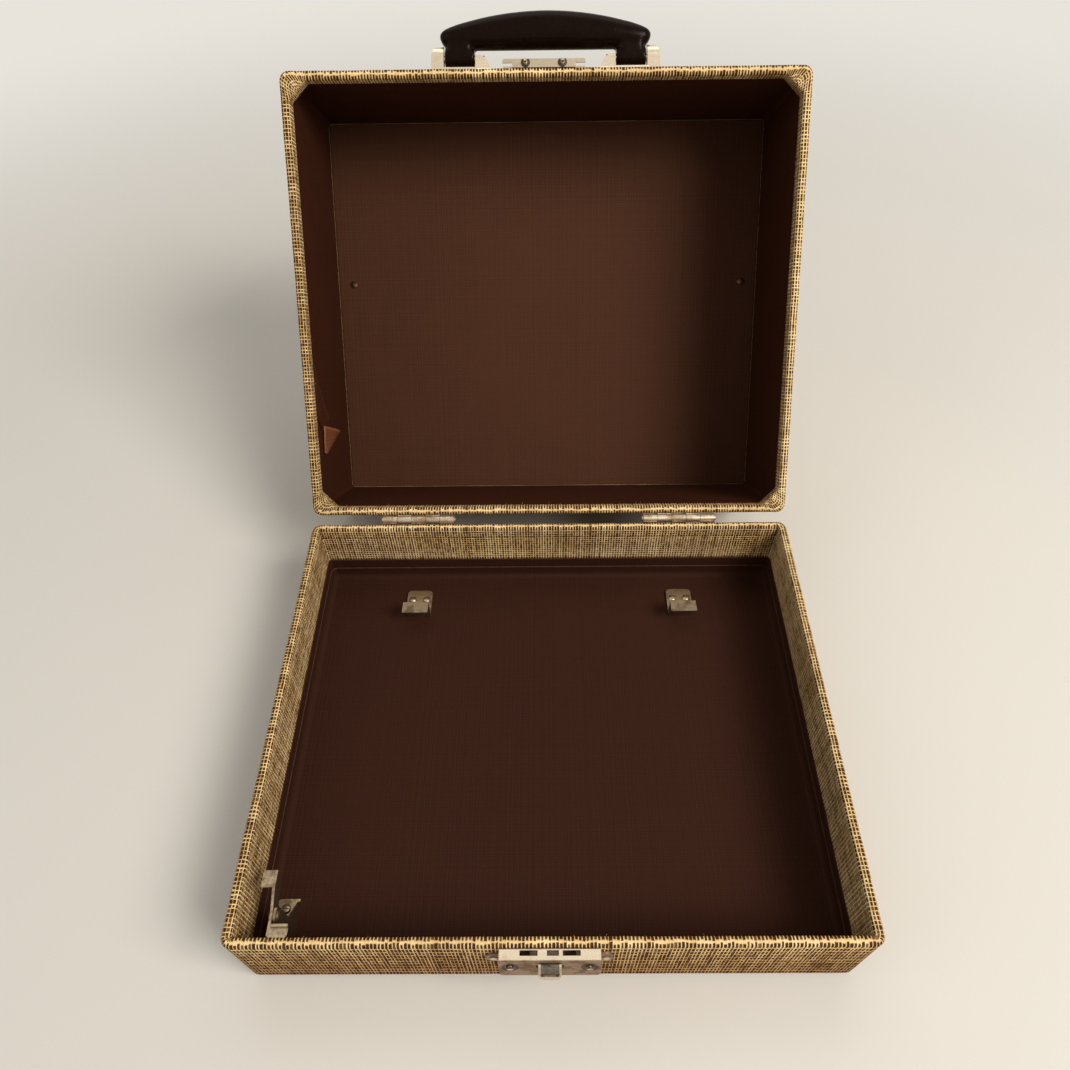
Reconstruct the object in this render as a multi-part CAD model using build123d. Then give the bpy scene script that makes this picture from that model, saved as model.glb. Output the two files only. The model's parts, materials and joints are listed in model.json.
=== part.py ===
from build123d import *
import copy
import os
from math import acos, atan2, degrees, hypot

# A portable carrying case: a shallow tray and a deep lid of thin board, covered with
# coated tweed cloth, joined by two hinges at the back and closed by a hasp and a lock
# at the front. The tray stands on its feet, the lid leans open.
# X runs to the right, Y to the back and Z up. All pieces are drawn about the middle
# of the tray, and at the end they move so that the origin is under the middle of the
# whole open case, on the resting plane.

# Overall sizes, in millimetres.
case_width = 334.0
case_depth = 282.0
tray_height = 58.0
lid_height = 108.0
foot_height = 5.0

# Boards and cloth.
board = 4.0
top_board = 4.5
bottom_board = 4.5
cloth = 0.7
corner_radius = 6.0
rim_round = 1.9
lid_edge_round = 5.2
tray_edge_round = 3.0
tray_wrap = 10.0
lid_wrap = 9.0
under_wrap = 14.0
corner_fold = 11.0
wall_lining = 0.6
panel_lining = 1.0
floor_lining = 0.8
skirt_height = 20.0
floor_turn_up = 11.0
floor_turn_up_cloth = 0.5
lining_gap = 0.3

# Closing and hinges.
rim_gap = 0.4
ground_gap = 0.3
hinge_offset = 3.4
hinge_from_side = 75.0
hinge_width = 50.0
hinge_leaf_height = 21.0
hinge_sheet = 1.2
barrel_radius = 2.9
knuckles = 5
knuckle_gap = 0.3
leaf_gap = 0.5
hinge_pin_radius = 1.2
running_gap = 0.05
hinge_rivet_spacing = 18.0

# Rivets and screws.
rivet_shank_radius = 1.2
rivet_head_radius = 2.3
rivet_head_height = 1.0
rivet_burr_radius = 3.0
rivet_burr = 0.6
screw_shank_radius = 1.3
screw_head_radius = 2.8
screw_head_height = 1.3
screw_slot = 0.7
hole_gap = 0.02

# Feet.
foot_radius = 8.0
foot_inset = 30.0
back_foot_radius = 7.0
back_foot_height = 5.6
back_foot_inset = 16.0
back_foot_from_side = 27.0

# Lock on the tray's front.
lock_x = -1.0
lock_ear = 6.9
lock_proud = 5.9
lock_slope = 2.6
lock_plate_height = 20.0
lock_sheet = 0.9
lock_back_width = 65.0
lock_back_height = 14.0
lock_back_sheet = 1.0
lock_back_drop = 16.5
lock_ear_rivet_inset = 3.6
lock_front_rivet_inset = 5.6
slot_width = 9.0
slot_depth = 2.6
slot_from_wall = 1.45
middle_slot_width = 6.0
middle_slot_shift = 1.5
bolt_sheet = 1.1
bolt_gap = 0.35
bolt_inset = 6.6
slide_travel = 2.5
thumb_width = 11.6
thumb_height = 14.4
thumb_drop = 5.0
thumb_body = 1.1
thumb_lip = 1.0
thumb_border = 0.9
thumb_corner = 3.2
window_drop = 2.0
window_height = 2.8
window_gap = 1.1

# Hasp on the lid's front.
hasp_overlap = 0.2
hasp_height = 15.0
hasp_sheet = 1.2
hasp_flange = 4.8
hasp_notch = 6.0
stud_spacing = 23.0
stud_radius = 1.1
stud_neck_radius = 0.7
stud_length = 5.0
stud_ring_radius = 2.6

# Handle on the lid's front, on two brackets.
handle_from_rim = 30.0
handle_pivot_out = 14.0
handle_half_length = 68.4
grip_low = 19.3
grip_high = 41.0
grip_thickness = 18.0
handle_foot_from_end = 12.8
handle_foot_width = 19.2
handle_foot_radius = 6.3
handle_side_gap = 0.6
handle_pin_radius = 2.0
bracket_depth = 22.0
bracket_base = 1.5
bracket_ear_height = 21.0
bracket_ear = 8.4
bracket_hump_height = 15.0
bracket_hump = 8.5
bracket_lip_height = 6.8
bracket_lip = 1.3
bracket_inward = 30.2
bracket_outward = 27.4
bracket_rivet_inset = 4.2
bracket_flange = 1.6
bracket_ear_radius = 6.9
bracket_hump_radius = 4.7

# Clamp that holds the contents down, at the tray's left front.
clamp_from_side = 20.0
clamp_from_front = 20.0
clamp_sheet = 1.4
clamp_pivot_height = 36.7
clamp_pivot_radius = 1.8
clamp_base_width = 13.5
clamp_base_length = 32.0
clamp_upright_length = 9.0
clamp_arm_length = 21.0
clamp_arm_rise = 9.0
clamp_arm_width = 7.0
clamp_tab_width = 7.5
clamp_tab_length = 9.0
clamp_tongue_width = 9.5
clamp_tongue_length = 7.6
clamp_tongue_lip = 1.6
clamp_gap = 0.35

# Hooks that hold the contents at the back.
hook_from_side = 72.0
hook_from_back = 43.0
hook_width = 18.0
hook_sheet = 1.6
hook_rise = 15.0
hook_reach = 8.0
hook_base_length = 22.0

# Tacks in the lid's top lining.
tack_from_side = 17.5
tack_from_back = 163.0
tack_radius = 2.4
tack_height = 1.1

# Places that follow from the sizes above.
rim_z = foot_height + tray_height
floor_z = foot_height + bottom_board
lid_low = rim_z + rim_gap
lid_top = lid_low + lid_height
front_y = -case_depth / 2
back_y = case_depth / 2
hinge_y = back_y + hinge_offset
hinge_z = rim_z + rim_gap / 2
wall = board + 2 * cloth
inner_width = case_width - 2 * (cloth + board)
inner_depth = case_depth - 2 * (cloth + board)
floor_top = floor_z + floor_lining
hinge_x = case_width / 2 - hinge_from_side
back_foot_x = case_width / 2 - back_foot_from_side
clamp_x = -case_width / 2 + clamp_from_side
clamp_y = front_y + clamp_from_front
clamp_pivot_z = floor_top + clamp_pivot_height
hook_x = case_width / 2 - hook_from_side
hook_y = back_y - hook_from_back
tack_x = case_width / 2 - tack_from_side
lock_width = lock_back_width - 2 * lock_ear
lock_front_rivet_x = lock_width / 2 - lock_front_rivet_inset
bolt_width = lock_width - 2 * bolt_inset
hasp_width = lock_width + 2 * hasp_overlap
handle_foot_x = handle_half_length - handle_foot_from_end
bracket_inner_x = handle_foot_x - bracket_inward
bracket_outer_x = handle_foot_x + bracket_outward

# The lid leans back until its back edge nearly meets the ground.
lid_edge_up = lid_top - hinge_z
lid_reach = hypot(lid_edge_up, hinge_offset)
open_angle = degrees(
    acos(-(hinge_z - ground_gap) / lid_reach) + atan2(hinge_offset, lid_edge_up)
)
hinge_line = Axis((0, hinge_y, hinge_z), (1, 0, 0))


def opened(shape):
    """Swings a piece of the closed lid to the open rest pose."""
    return shape.rotate(hinge_line, -open_angle)


def block(x_low, x_high, y_low, y_high, z_low, z_high):
    """A box between two corners."""
    middle = Pos((x_low + x_high) / 2, (y_low + y_high) / 2, (z_low + z_high) / 2)
    return middle * Box(x_high - x_low, y_high - y_low, z_high - z_low)


def upright(width, depth, radius, low, high):
    """A block with rounded upright edges, centred on the case."""
    return Pos(0, 0, low) * extrude(RectangleRounded(width, depth, radius), high - low)


def edges_at(shape, height):
    """The edges of a shape that lie in one level plane."""
    return shape.edges().filter_by_position(Axis.Z, height - 0.01, height + 0.01)


def rod(radius, start, end):
    """A round bar from one point to another."""
    way = Vector(*end) - Vector(*start)
    return extrude(Plane(origin=start, z_dir=way) * Circle(radius), way.length)


def turned(points, place):
    """A solid of revolution from (radius, height) points, about the place's Z."""
    face = make_face(Polyline(*[(r, 0, h) for r, h in points], close=True))
    return place * revolve(face, Axis.Z)


def facing(x, y, z, direction):
    """A place at a point, with its Z along the direction."""
    return Plane(origin=(x, y, z), z_dir=direction).location


def dome_head(radius, height, place):
    """A low domed rivet head, a little flat on top, that sits on a surface."""
    flat = radius * 0.3
    side = make_face(
        [
            Line((0, 0, 0), (radius, 0, 0)),
            ThreePointArc((radius, 0, 0), (radius * 0.78, 0, height * 0.66), (flat, 0, height)),
            Line((flat, 0, height), (0, 0, height)),
            Line((0, 0, height), (0, 0, 0)),
        ]
    )
    return place * revolve(side, Axis.Z)


# The ways through a wall: where a rivet or screw goes, it drills what it passes.
drills = {"tray": [], "lid": []}


def rivet(body, x, y, z, direction, through, head_above=0.0):
    """A rivet with its head on a fitting and a burr sunk flush in the wall's back."""
    out = Vector(*direction)
    face = Vector(x, y, z) + out * head_above
    inside = Vector(x, y, z) - out * through
    shank = rod(rivet_shank_radius, tuple(face), tuple(inside))
    head_place = facing(face.X, face.Y, face.Z, direction)
    head = dome_head(rivet_head_radius, rivet_head_height, head_place)
    burr_start = inside + out * rivet_burr
    burr = rod(rivet_burr_radius, tuple(burr_start), tuple(inside))
    hole = rod(rivet_shank_radius + hole_gap, tuple(face), tuple(inside))
    burr_hole = rod(rivet_burr_radius + hole_gap, tuple(burr_start), tuple(inside))
    drills[body] += [hole, burr_hole]
    return head + shank + burr


def screw(body, x, y, z, direction, length, head_above=0.0):
    """A slotted round-head screw driven into a board."""
    out = Vector(*direction)
    face = Vector(x, y, z) + out * head_above
    tip = Vector(x, y, z) - out * length
    shank = rod(screw_shank_radius, tuple(face), tuple(tip))
    head_place = facing(face.X, face.Y, face.Z, direction)
    head = dome_head(screw_head_radius, screw_head_height, head_place)
    slot = head_place * Pos(0, 0, screw_head_height) * Box(
        3 * screw_head_radius, screw_slot, screw_head_height
    )
    drills[body].append(rod(screw_shank_radius + hole_gap, tuple(face), tuple(tip)))
    return (head - slot) + shank


def drilled(shape, body):
    """A board, cloth or lining with the rivet and screw holes through it."""
    for hole in drills[body]:
        shape = shape - hole
    return shape


def split_walls(ring, low, high):
    """Cuts a ring of wall into its front, back, left and right boards."""
    side = case_width
    front = block(-side, side, -case_depth, front_y + cloth + board, low, high)
    back = block(-side, side, back_y - cloth - board, case_depth, low, high)
    left = block(-side, 0, front_y + cloth + board, back_y - cloth - board, low, high)
    right = block(0, side, front_y + cloth + board, back_y - cloth - board, low, high)
    return ring & front, ring & back, ring & left, ring & right


def tray_core():
    """The tray's bare boards as one block, hollowed, with its edges eased."""
    width = case_width - 2 * cloth
    depth = case_depth - 2 * cloth
    radius = corner_radius - cloth
    core = upright(width, depth, radius, foot_height, rim_z - cloth)
    core = fillet(edges_at(core, foot_height), tray_edge_round - cloth)
    core -= block_inside(inner_width, inner_depth, floor_z, rim_z)
    return fillet(edges_at(core, rim_z - cloth), rim_round - cloth)


def block_inside(width, depth, low, high):
    """A plain block centred on the case."""
    return block(-width / 2, width / 2, -depth / 2, depth / 2, low, high)


def tray_cloth(core):
    """Tweed over the tray: up the outside, over the rim and a hand's width inside."""
    low = foot_height - cloth
    skin = upright(case_width, case_depth, corner_radius, low, rim_z)
    skin = fillet(edges_at(skin, low), tray_edge_round)
    skin -= block_inside(case_width - 2 * wall, case_depth - 2 * wall, floor_z, rim_z + 1)
    skin = fillet(edges_at(skin, rim_z), rim_round)
    skin -= core
    skin -= block_inside(inner_width, inner_depth, floor_z - 1, rim_z - tray_wrap)
    under_width = case_width - 2 * under_wrap
    under_depth = case_depth - 2 * under_wrap
    return skin - block_inside(under_width, under_depth, low - 1, foot_height)


def lining_ring(low, high, thickness, inset=0.0):
    """Cloth of one thickness round the inside walls, between two heights."""
    width = inner_width - 2 * inset
    depth = inner_depth - 2 * inset
    ring = block_inside(width, depth, low, high)
    gap = 2 * thickness
    return ring - block_inside(width - gap, depth - gap, low - 1, high + 1)


def tray_floor_cloth():
    """Dark cloth on card over the floor, its edge turned up against the skirt."""
    inset = wall_lining
    width = inner_width - 2 * inset
    depth = inner_depth - 2 * inset
    floor = block_inside(width, depth, floor_z, floor_z + floor_lining)
    high = floor_z + floor_turn_up
    return floor + lining_ring(floor_z, high, floor_turn_up_cloth, inset)


def lid_core():
    """The lid's bare boards as one block, hollowed, with its edges eased."""
    width = case_width - 2 * cloth
    depth = case_depth - 2 * cloth
    radius = corner_radius - cloth
    core = upright(width, depth, radius, lid_low + cloth, lid_top - cloth)
    core = fillet(edges_at(core, lid_top - cloth), lid_edge_round - cloth)
    ceiling = lid_top - cloth - top_board
    core -= block_inside(inner_width, inner_depth, lid_low, ceiling)
    return fillet(edges_at(core, lid_low + cloth), rim_round - cloth)


def lid_cloth(core):
    """Tweed over the whole lid and its rim, folded into the rim's inner corners."""
    skin = upright(case_width, case_depth, corner_radius, lid_low, lid_top)
    skin = fillet(edges_at(skin, lid_top), lid_edge_round)
    hollow = block_inside(case_width - 2 * wall, case_depth - 2 * wall, lid_low - 1, lid_top - 6)
    corners = hollow.edges().filter_by(Axis.Z)
    skin -= chamfer(corners, corner_fold)
    skin = fillet(edges_at(skin, lid_low), rim_round)
    skin -= core
    return skin - block_inside(inner_width, inner_depth, lid_low + lid_wrap, lid_top - cloth)


def lid_wall_cloth():
    """Dark cloth on the lid's inside walls, under the turned-over tweed."""
    ceiling = lid_top - cloth - top_board - panel_lining
    return lining_ring(lid_low + lid_wrap, ceiling, wall_lining)


def lid_panel():
    """Dark cloth on card under the lid's top board."""
    high = lid_top - cloth - top_board
    return block_inside(inner_width, inner_depth, high - panel_lining, high)


def hinge_leaf(x, upper):
    """One leaf of a hinge, with its own knuckles, for the tray or for the lid."""
    far = hinge_z + (hinge_leaf_height if upper else -hinge_leaf_height)
    low = min(hinge_z, far)
    high = max(hinge_z, far)
    half = hinge_width / 2
    leaf = block(x - half, x + half, back_y, back_y + hinge_sheet, low, high)
    tips = leaf.edges().filter_by(Axis.Y).filter_by_position(Axis.Z, far - 0.01, far + 0.01)
    leaf = fillet(tips, 3.0)
    barrel = rod(barrel_radius, (x - half, hinge_y, hinge_z), (x + half, hinge_y, hinge_z))
    web_z = hinge_z + (leaf_gap if upper else -barrel_radius)
    web_height = barrel_radius - leaf_gap
    web = block(x - half, x + half, back_y, hinge_y, web_z, web_z + web_height)
    leaf = leaf + barrel + web
    step = hinge_width / knuckles
    gap = knuckle_gap / 2
    clear = barrel_radius + leaf_gap
    for index in range(knuckles):
        if (index % 2 == 1) != upper:
            start = x - half + index * step
            left = start - gap if index > 0 else start - 1
            right = start + step + gap if index < knuckles - 1 else start + step + 1
            low = hinge_z - clear
            leaf -= block(left, right, back_y - 1, hinge_y + clear, low, hinge_z + clear)
    bore = hinge_pin_radius + running_gap
    leaf -= rod(bore, (x - half - 1, hinge_y, hinge_z), (x + half + 1, hinge_y, hinge_z))
    for place in hinge_rivet_places(x, upper):
        leaf -= rod(rivet_shank_radius + hole_gap, place, (place[0], place[1] + 5, place[2]))
    return leaf


def hinge_rivet_places(x, upper):
    """Two rivets near the barrel and one near the tip, on the wall's face."""
    way = 1 if upper else -1
    near = hinge_z + way * hinge_leaf_height * 0.42
    far = hinge_z + way * hinge_leaf_height * 0.76
    return [
        (x - hinge_rivet_spacing, back_y, near),
        (x, back_y, far),
        (x + hinge_rivet_spacing, back_y, near),
    ]


def hinge_pin(x):
    """A plain pin, a little longer than its hinge, with upset ends."""
    half = hinge_width / 2
    left = x - half - 0.6
    right = x + half + 0.6
    pin = rod(hinge_pin_radius, (left, hinge_y, hinge_z), (right, hinge_y, hinge_z))
    for side in (-1, 1):
        start = x + side * (half + 0.15)
        end = start + side * 0.9
        pin += rod(hinge_pin_radius + 0.8, (start, hinge_y, hinge_z), (end, hinge_y, hinge_z))
    return pin


def hinge_rivets(body, upper):
    """The rivets of both leaves on one wall."""
    group = []
    for x in (-hinge_x, hinge_x):
        for px, py, pz in hinge_rivet_places(x, upper):
            group.append(rivet(body, px, py, pz, (0, 1, 0), cloth + board, hinge_sheet))
    return Compound(children=group)


def glide(radius, height, place):
    """A pressed domed glide with a rolled edge and a hole for its screw."""
    side = [
        (screw_shank_radius + hole_gap, 0.0),
        (radius, 0.0),
        (radius, height * 0.22),
        (radius * 0.93, height * 0.55),
        (radius * 0.76, height * 0.85),
        (radius * 0.5, height),
        (screw_head_radius + 0.3, height),
        (screw_head_radius, height - screw_head_height - 0.2),
        (screw_shank_radius + hole_gap, height - screw_head_height - 0.2),
    ]
    return turned(side, place)


def bottom_feet():
    """Four glides under the tray and the screws that hold them."""
    feet = []
    screws = []
    face = foot_height - cloth
    for x in (-1, 1):
        for y in (-1, 1):
            px = x * (case_width / 2 - foot_inset)
            py = y * (case_depth / 2 - foot_inset)
            feet.append(glide(foot_radius, face, facing(px, py, face, (0, 0, -1))))
            seat = face - screw_head_height - 0.2
            screws.append(screw("tray", px, py, face, (0, 0, -1), bottom_board, seat))
    return Compound(children=feet), Compound(children=screws)


def back_feet(body, z):
    """Two glides on the back wall, which the closed case stands on when set down."""
    feet = []
    screws = []
    for x in (-back_foot_x, back_foot_x):
        feet.append(glide(back_foot_radius, back_foot_height, facing(x, back_y, z, (0, 1, 0))))
        seat = back_foot_height - screw_head_height - 0.2
        screws.append(screw(body, x, back_y, z, (0, 1, 0), board + cloth, seat))
    return Compound(children=feet), Compound(children=screws)


def lock_wedge(inset):
    """The lock's wedge-shaped body: level on top, its face leaning out downwards."""
    back = front_y - lock_back_sheet
    slope = lock_slope / lock_plate_height
    low = rim_z - lock_plate_height
    face = [
        (back, rim_z - inset),
        (front_y - lock_proud + inset, rim_z - inset),
        (front_y - lock_proud - slope * (lock_plate_height - inset) + inset, low + inset),
        (back, low + inset),
    ]
    sketch = make_face(Polyline(*[(0, y, z) for y, z in face], close=True))
    half = lock_width / 2 - inset
    return Pos(lock_x, 0, 0) * extrude(sketch, half, dir=(1, 0, 0), both=True)


def lock_slots():
    """The ledge's three slots: two for the hasp's studs and one between them."""
    y_high = front_y - slot_from_wall
    y_low = y_high - slot_depth
    cuts = []
    spots = [
        (-stud_spacing / 2 + 0.9, slot_width),
        (middle_slot_shift, middle_slot_width),
        (stud_spacing / 2 - 0.7, slot_width),
    ]
    for shift, width in spots:
        x = lock_x + shift
        cuts.append(block(x - width / 2, x + width / 2, y_low, y_high, rim_z - 2, rim_z + 1))
    return cuts


def lock_case():
    """The lock's pressed case: a ledge with slots, two cheeks and a floor."""
    case = lock_wedge(0.0) - lock_wedge(lock_sheet)
    rounded = case.edges().filter_by(Axis.Y).filter_by_position(Axis.Z, rim_z - 0.01, rim_z + 0.01)
    case = fillet(rounded, 0.8)
    case -= lock_face_block()
    for cut in lock_slots():
        case -= cut
    return case


def lock_face_block():
    """The space of the front plate, in front of the case's open face."""
    slope = lock_slope / lock_plate_height
    low = rim_z - lock_plate_height
    top_y = front_y - lock_proud + lock_sheet
    low_y = top_y - slope * lock_plate_height
    points = [
        (top_y, rim_z - lock_sheet),
        (top_y - 9, rim_z - lock_sheet),
        (low_y - 9, low - 1),
        (low_y, low - 1),
    ]
    sketch = make_face(Polyline(*[(0, y, z) for y, z in points], close=True))
    return Pos(lock_x, 0, 0) * extrude(sketch, lock_width, dir=(1, 0, 0), both=True)


def lock_face_y(z):
    """How far forward the front plate's outer face is at a height."""
    return front_y - lock_proud - lock_slope / lock_plate_height * (rim_z - z)


def lock_front_plate():
    """The sloping front plate, with the thumb slide's window and two rivet holes."""
    high = rim_z - lock_sheet
    low = rim_z - lock_plate_height
    points = [
        (lock_face_y(high), high),
        (lock_face_y(high) + lock_sheet, high),
        (lock_face_y(low) + lock_sheet, low),
        (lock_face_y(low), low),
    ]
    sketch = make_face(Polyline(*[(0, y, z) for y, z in points], close=True))
    half = lock_width / 2
    plate = Pos(lock_x, 0, 0) * extrude(sketch, half, dir=(1, 0, 0), both=True)
    plate = fillet(plate.edges().group_by(Axis.Z)[0].filter_by(Axis.Y), 2.2)
    left = lock_x - thumb_width / 2 - window_gap
    right = lock_x + thumb_width / 2 + window_gap
    top = rim_z - thumb_drop - window_drop
    far_y = front_y - lock_plate_height
    plate -= block(left, right, far_y, front_y - 2, top - window_height, top)
    hole = rivet_shank_radius + hole_gap
    for x in (-lock_front_rivet_x, lock_front_rivet_x):
        z = rim_z - lock_plate_height * 0.47
        plate -= rod(hole, (lock_x + x, far_y, z), (lock_x + x, front_y, z))
    return plate


def lock_back_plate():
    """The plate on the wall behind the lock, with an ear at each side."""
    mid = rim_z - lock_back_drop
    shape = RectangleRounded(lock_back_width, lock_back_height, 5.0)
    place = Plane(origin=(lock_x, front_y, mid), x_dir=(1, 0, 0), z_dir=(0, -1, 0))
    plate = extrude(place * shape, lock_back_sheet)
    low = rim_z - lock_plate_height
    plate += block(
        lock_x - lock_width / 2 + 1,
        lock_x + lock_width / 2 - 1,
        front_y - lock_back_sheet,
        front_y,
        low + 0.5,
        rim_z - rim_round - 0.4,
    )
    hole = rivet_shank_radius + hole_gap
    for x in (-1, 1):
        px = lock_x + x * (lock_back_width / 2 - lock_ear_rivet_inset)
        plate -= rod(hole, (px, front_y - 5, mid), (px, front_y + 1, mid))
        pz = rim_z - lock_plate_height * 0.47
        fx = lock_x + x * lock_front_rivet_x
        plate -= rod(hole, (fx, front_y - 5, pz), (fx, front_y + 1, pz))
    return plate


def lock_ear_rivets():
    """The two rivets through the ears and the tray's front wall."""
    mid = rim_z - lock_back_drop
    group = []
    for x in (-1, 1):
        px = lock_x + x * (lock_back_width / 2 - lock_ear_rivet_inset)
        group.append(rivet("tray", px, front_y, mid, (0, -1, 0), cloth + board, lock_back_sheet))
    return Compound(children=group)


def lock_front_rivets():
    """The two long rivets that hold the front plate, case and back plate together."""
    z = rim_z - lock_plate_height * 0.47
    group = []
    for x in (-1, 1):
        px = lock_x + x * lock_front_rivet_x
        proud = front_y - lock_face_y(z - rivet_head_radius)
        group.append(rivet("tray", px, front_y, z, (0, -1, 0), cloth + board, proud))
    return Compound(children=group)


def lock_slide_plate():
    """The hooked plate under the ledge, which the thumb slide moves sideways."""
    high = rim_z - lock_sheet - bolt_gap
    low = high - bolt_sheet
    back = front_y - lock_back_sheet - bolt_gap
    front = front_y - lock_proud + lock_sheet + bolt_gap
    half = bolt_width / 2
    plate = block(lock_x - half, lock_x + half, front, back, low, high)
    stud_y = front_y - slot_from_wall - slot_depth / 2
    clear = stud_radius + bolt_gap
    for x in (-1, 1):
        centre = lock_x + x * stud_spacing / 2
        left = centre - clear - 1.4
        mouth = block(left, centre + clear, stud_y - clear, stud_y + clear, low - 1, high + 1)
        neck = stud_neck_radius + bolt_gap
        left = centre - clear - slide_travel - 0.6
        tail = block(left, centre, stud_y - neck, stud_y + neck, low - 1, high + 1)
        plate -= mouth + tail
    stem = block(
        lock_x - thumb_width * 0.3,
        lock_x + thumb_width * 0.3,
        front,
        front + lock_sheet,
        rim_z - thumb_drop - window_drop - window_height + bolt_gap,
        low,
    )
    return plate + stem


def thumb_slide():
    """The thumb piece: a dished face in a raised border, with a lip along its foot."""
    high = rim_z - thumb_drop
    low = high - thumb_height
    half = thumb_width / 2
    back = 0.35
    y_high = lock_face_y(high) - back
    y_low = lock_face_y(low) - back
    side = [
        (y_high, high),
        (y_high - thumb_body, high - 0.3),
        (y_low - thumb_body, low + 1.9),
        (y_low - thumb_body - thumb_lip, low + 1.2),
        (y_low - thumb_body - thumb_lip, low),
        (y_low, low),
    ]
    sketch = make_face(Polyline(*[(0, y, z) for y, z in side], close=True))
    piece = Pos(lock_x, 0, 0) * extrude(sketch, half, dir=(1, 0, 0), both=True)
    piece = fillet(piece.edges().filter_by(Axis.Y).group_by(Axis.Z)[0], thumb_corner)
    inner = half - thumb_border
    floor = make_face(
        Polyline(
            (0, y_high - 0.35, high - 0.9),
            (0, y_high - 9, high - 0.9),
            (0, y_low - 9, low + 1.9),
            (0, y_low - 0.35, low + 1.9),
            close=True,
        )
    )
    dish = Pos(lock_x, 0, 0) * extrude(floor, inner, dir=(1, 0, 0), both=True)
    dish = fillet(dish.edges().filter_by(Axis.Y).group_by(Axis.Z)[0], thumb_corner - 0.9)
    piece -= dish
    window_top = high - window_drop
    neck_half = half + window_gap - slide_travel - 0.5
    neck = block(
        lock_x - neck_half,
        lock_x + neck_half,
        lock_face_y(window_top - window_height + bolt_gap) - back - 0.3,
        front_y - lock_proud + lock_sheet + bolt_gap,
        window_top - window_height + bolt_gap,
        window_top - bolt_gap,
    )
    return piece + neck


def hasp_plate():
    """The angled plate on the lid: up the wall, with a flange over the lock's ledge."""
    half = hasp_width / 2
    low = lid_low
    left = lock_x - half
    right = lock_x + half
    plate = block(left, right, front_y - hasp_sheet, front_y, low, low + hasp_height)
    tips = plate.edges().filter_by(Axis.Y).group_by(Axis.Z)[-1]
    plate = fillet(tips, 3.0)
    flange = block(left, right, front_y - hasp_flange, front_y, low, low + hasp_sheet)
    outer = flange.edges().filter_by(Axis.Z).group_by(Axis.Y)[0]
    plate += fillet(outer, 1.2)
    for x in (-1, 1):
        middle = lock_x + x * half
        front = front_y - hasp_sheet - 1.4
        top = low + hasp_sheet + 1.0
        plate -= block(middle - hasp_notch, middle + hasp_notch, front, front_y + 1, low - 1, top)
    stud_y = front_y - slot_from_wall - slot_depth / 2
    for x in (-1, 1):
        px = lock_x + x * stud_spacing / 2
        plate -= rod(stud_radius, (px, stud_y, low - 1), (px, stud_y, low + 3))
        ring = rod(stud_ring_radius, (px, stud_y, low - 1), (px, stud_y, low + 0.3))
        plate -= ring
        rz = low + hasp_height * 0.62
        rx = lock_x + x * hasp_width * 0.34
        plate -= rod(rivet_shank_radius + hole_gap, (rx, front_y - 5, rz), (rx, front_y + 1, rz))
    return plate


def hasp_studs():
    """Two grooved studs that go down into the lock's slots."""
    stud_y = front_y - slot_from_wall - slot_depth / 2
    group = []
    top = hasp_sheet
    groove_high = -(rim_gap + lock_sheet + bolt_gap - 0.3)
    groove_low = groove_high - bolt_sheet - 0.6
    for x in (-1, 1):
        px = lock_x + x * stud_spacing / 2
        side = [
            (0, top),
            (stud_radius, top),
            (stud_radius, groove_high),
            (stud_neck_radius, groove_high),
            (stud_neck_radius, groove_low),
            (stud_radius, groove_low),
            (stud_radius, -stud_length + 0.9),
            (stud_radius * 0.45, -stud_length),
            (0, -stud_length),
        ]
        group.append(turned(side, Pos(px, stud_y, lid_low)))
    return Compound(children=group)


def hasp_rivets():
    """The hasp's two rivets through the lid's front wall."""
    group = []
    z = lid_low + hasp_height * 0.62
    for x in (-1, 1):
        px = lock_x + x * hasp_width * 0.34
        group.append(rivet("lid", px, front_y, z, (0, -1, 0), cloth + board, hasp_sheet))
    return Compound(children=group)


def bracket_outline(side):
    """The bracket's side view: an outer ear, a seat and a lower inner hump."""
    seat = bracket_base
    foot_out = handle_foot_x + handle_foot_width / 2 + handle_side_gap
    foot_in = handle_foot_x - handle_foot_width / 2 - handle_side_gap
    ear_out = foot_out + bracket_ear
    hump_in = foot_in - bracket_hump
    x = side
    return make_face(
        [
            Line((x * foot_in, 0, 0), (x * (hump_in - 3), 0, 0)),
            Line((x * (hump_in - 3), 0, 0), (x * (hump_in - 3), 0, seat)),
            Spline(
                (x * (hump_in - 3), 0, seat),
                (x * (hump_in - 0.5), 0, bracket_hump_height * 0.62),
                (x * (hump_in + 3.5), 0, bracket_hump_height - 0.6),
                (x * foot_in, 0, bracket_hump_height),
            ),
            Line((x * foot_in, 0, bracket_hump_height), (x * foot_in, 0, 0)),
        ]
    ), make_face(
        [
            Line((x * foot_out, 0, 0), (x * foot_out, 0, bracket_ear_height)),
            Spline(
                (x * foot_out, 0, bracket_ear_height),
                (x * (ear_out - 2.0), 0, bracket_ear_height - 2.4),
                (x * (ear_out - 0.3), 0, bracket_ear_height * 0.5),
                (x * ear_out, 0, 0),
            ),
            Line((x * ear_out, 0, 0), (x * foot_out, 0, 0)),
        ]
    )


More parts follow.
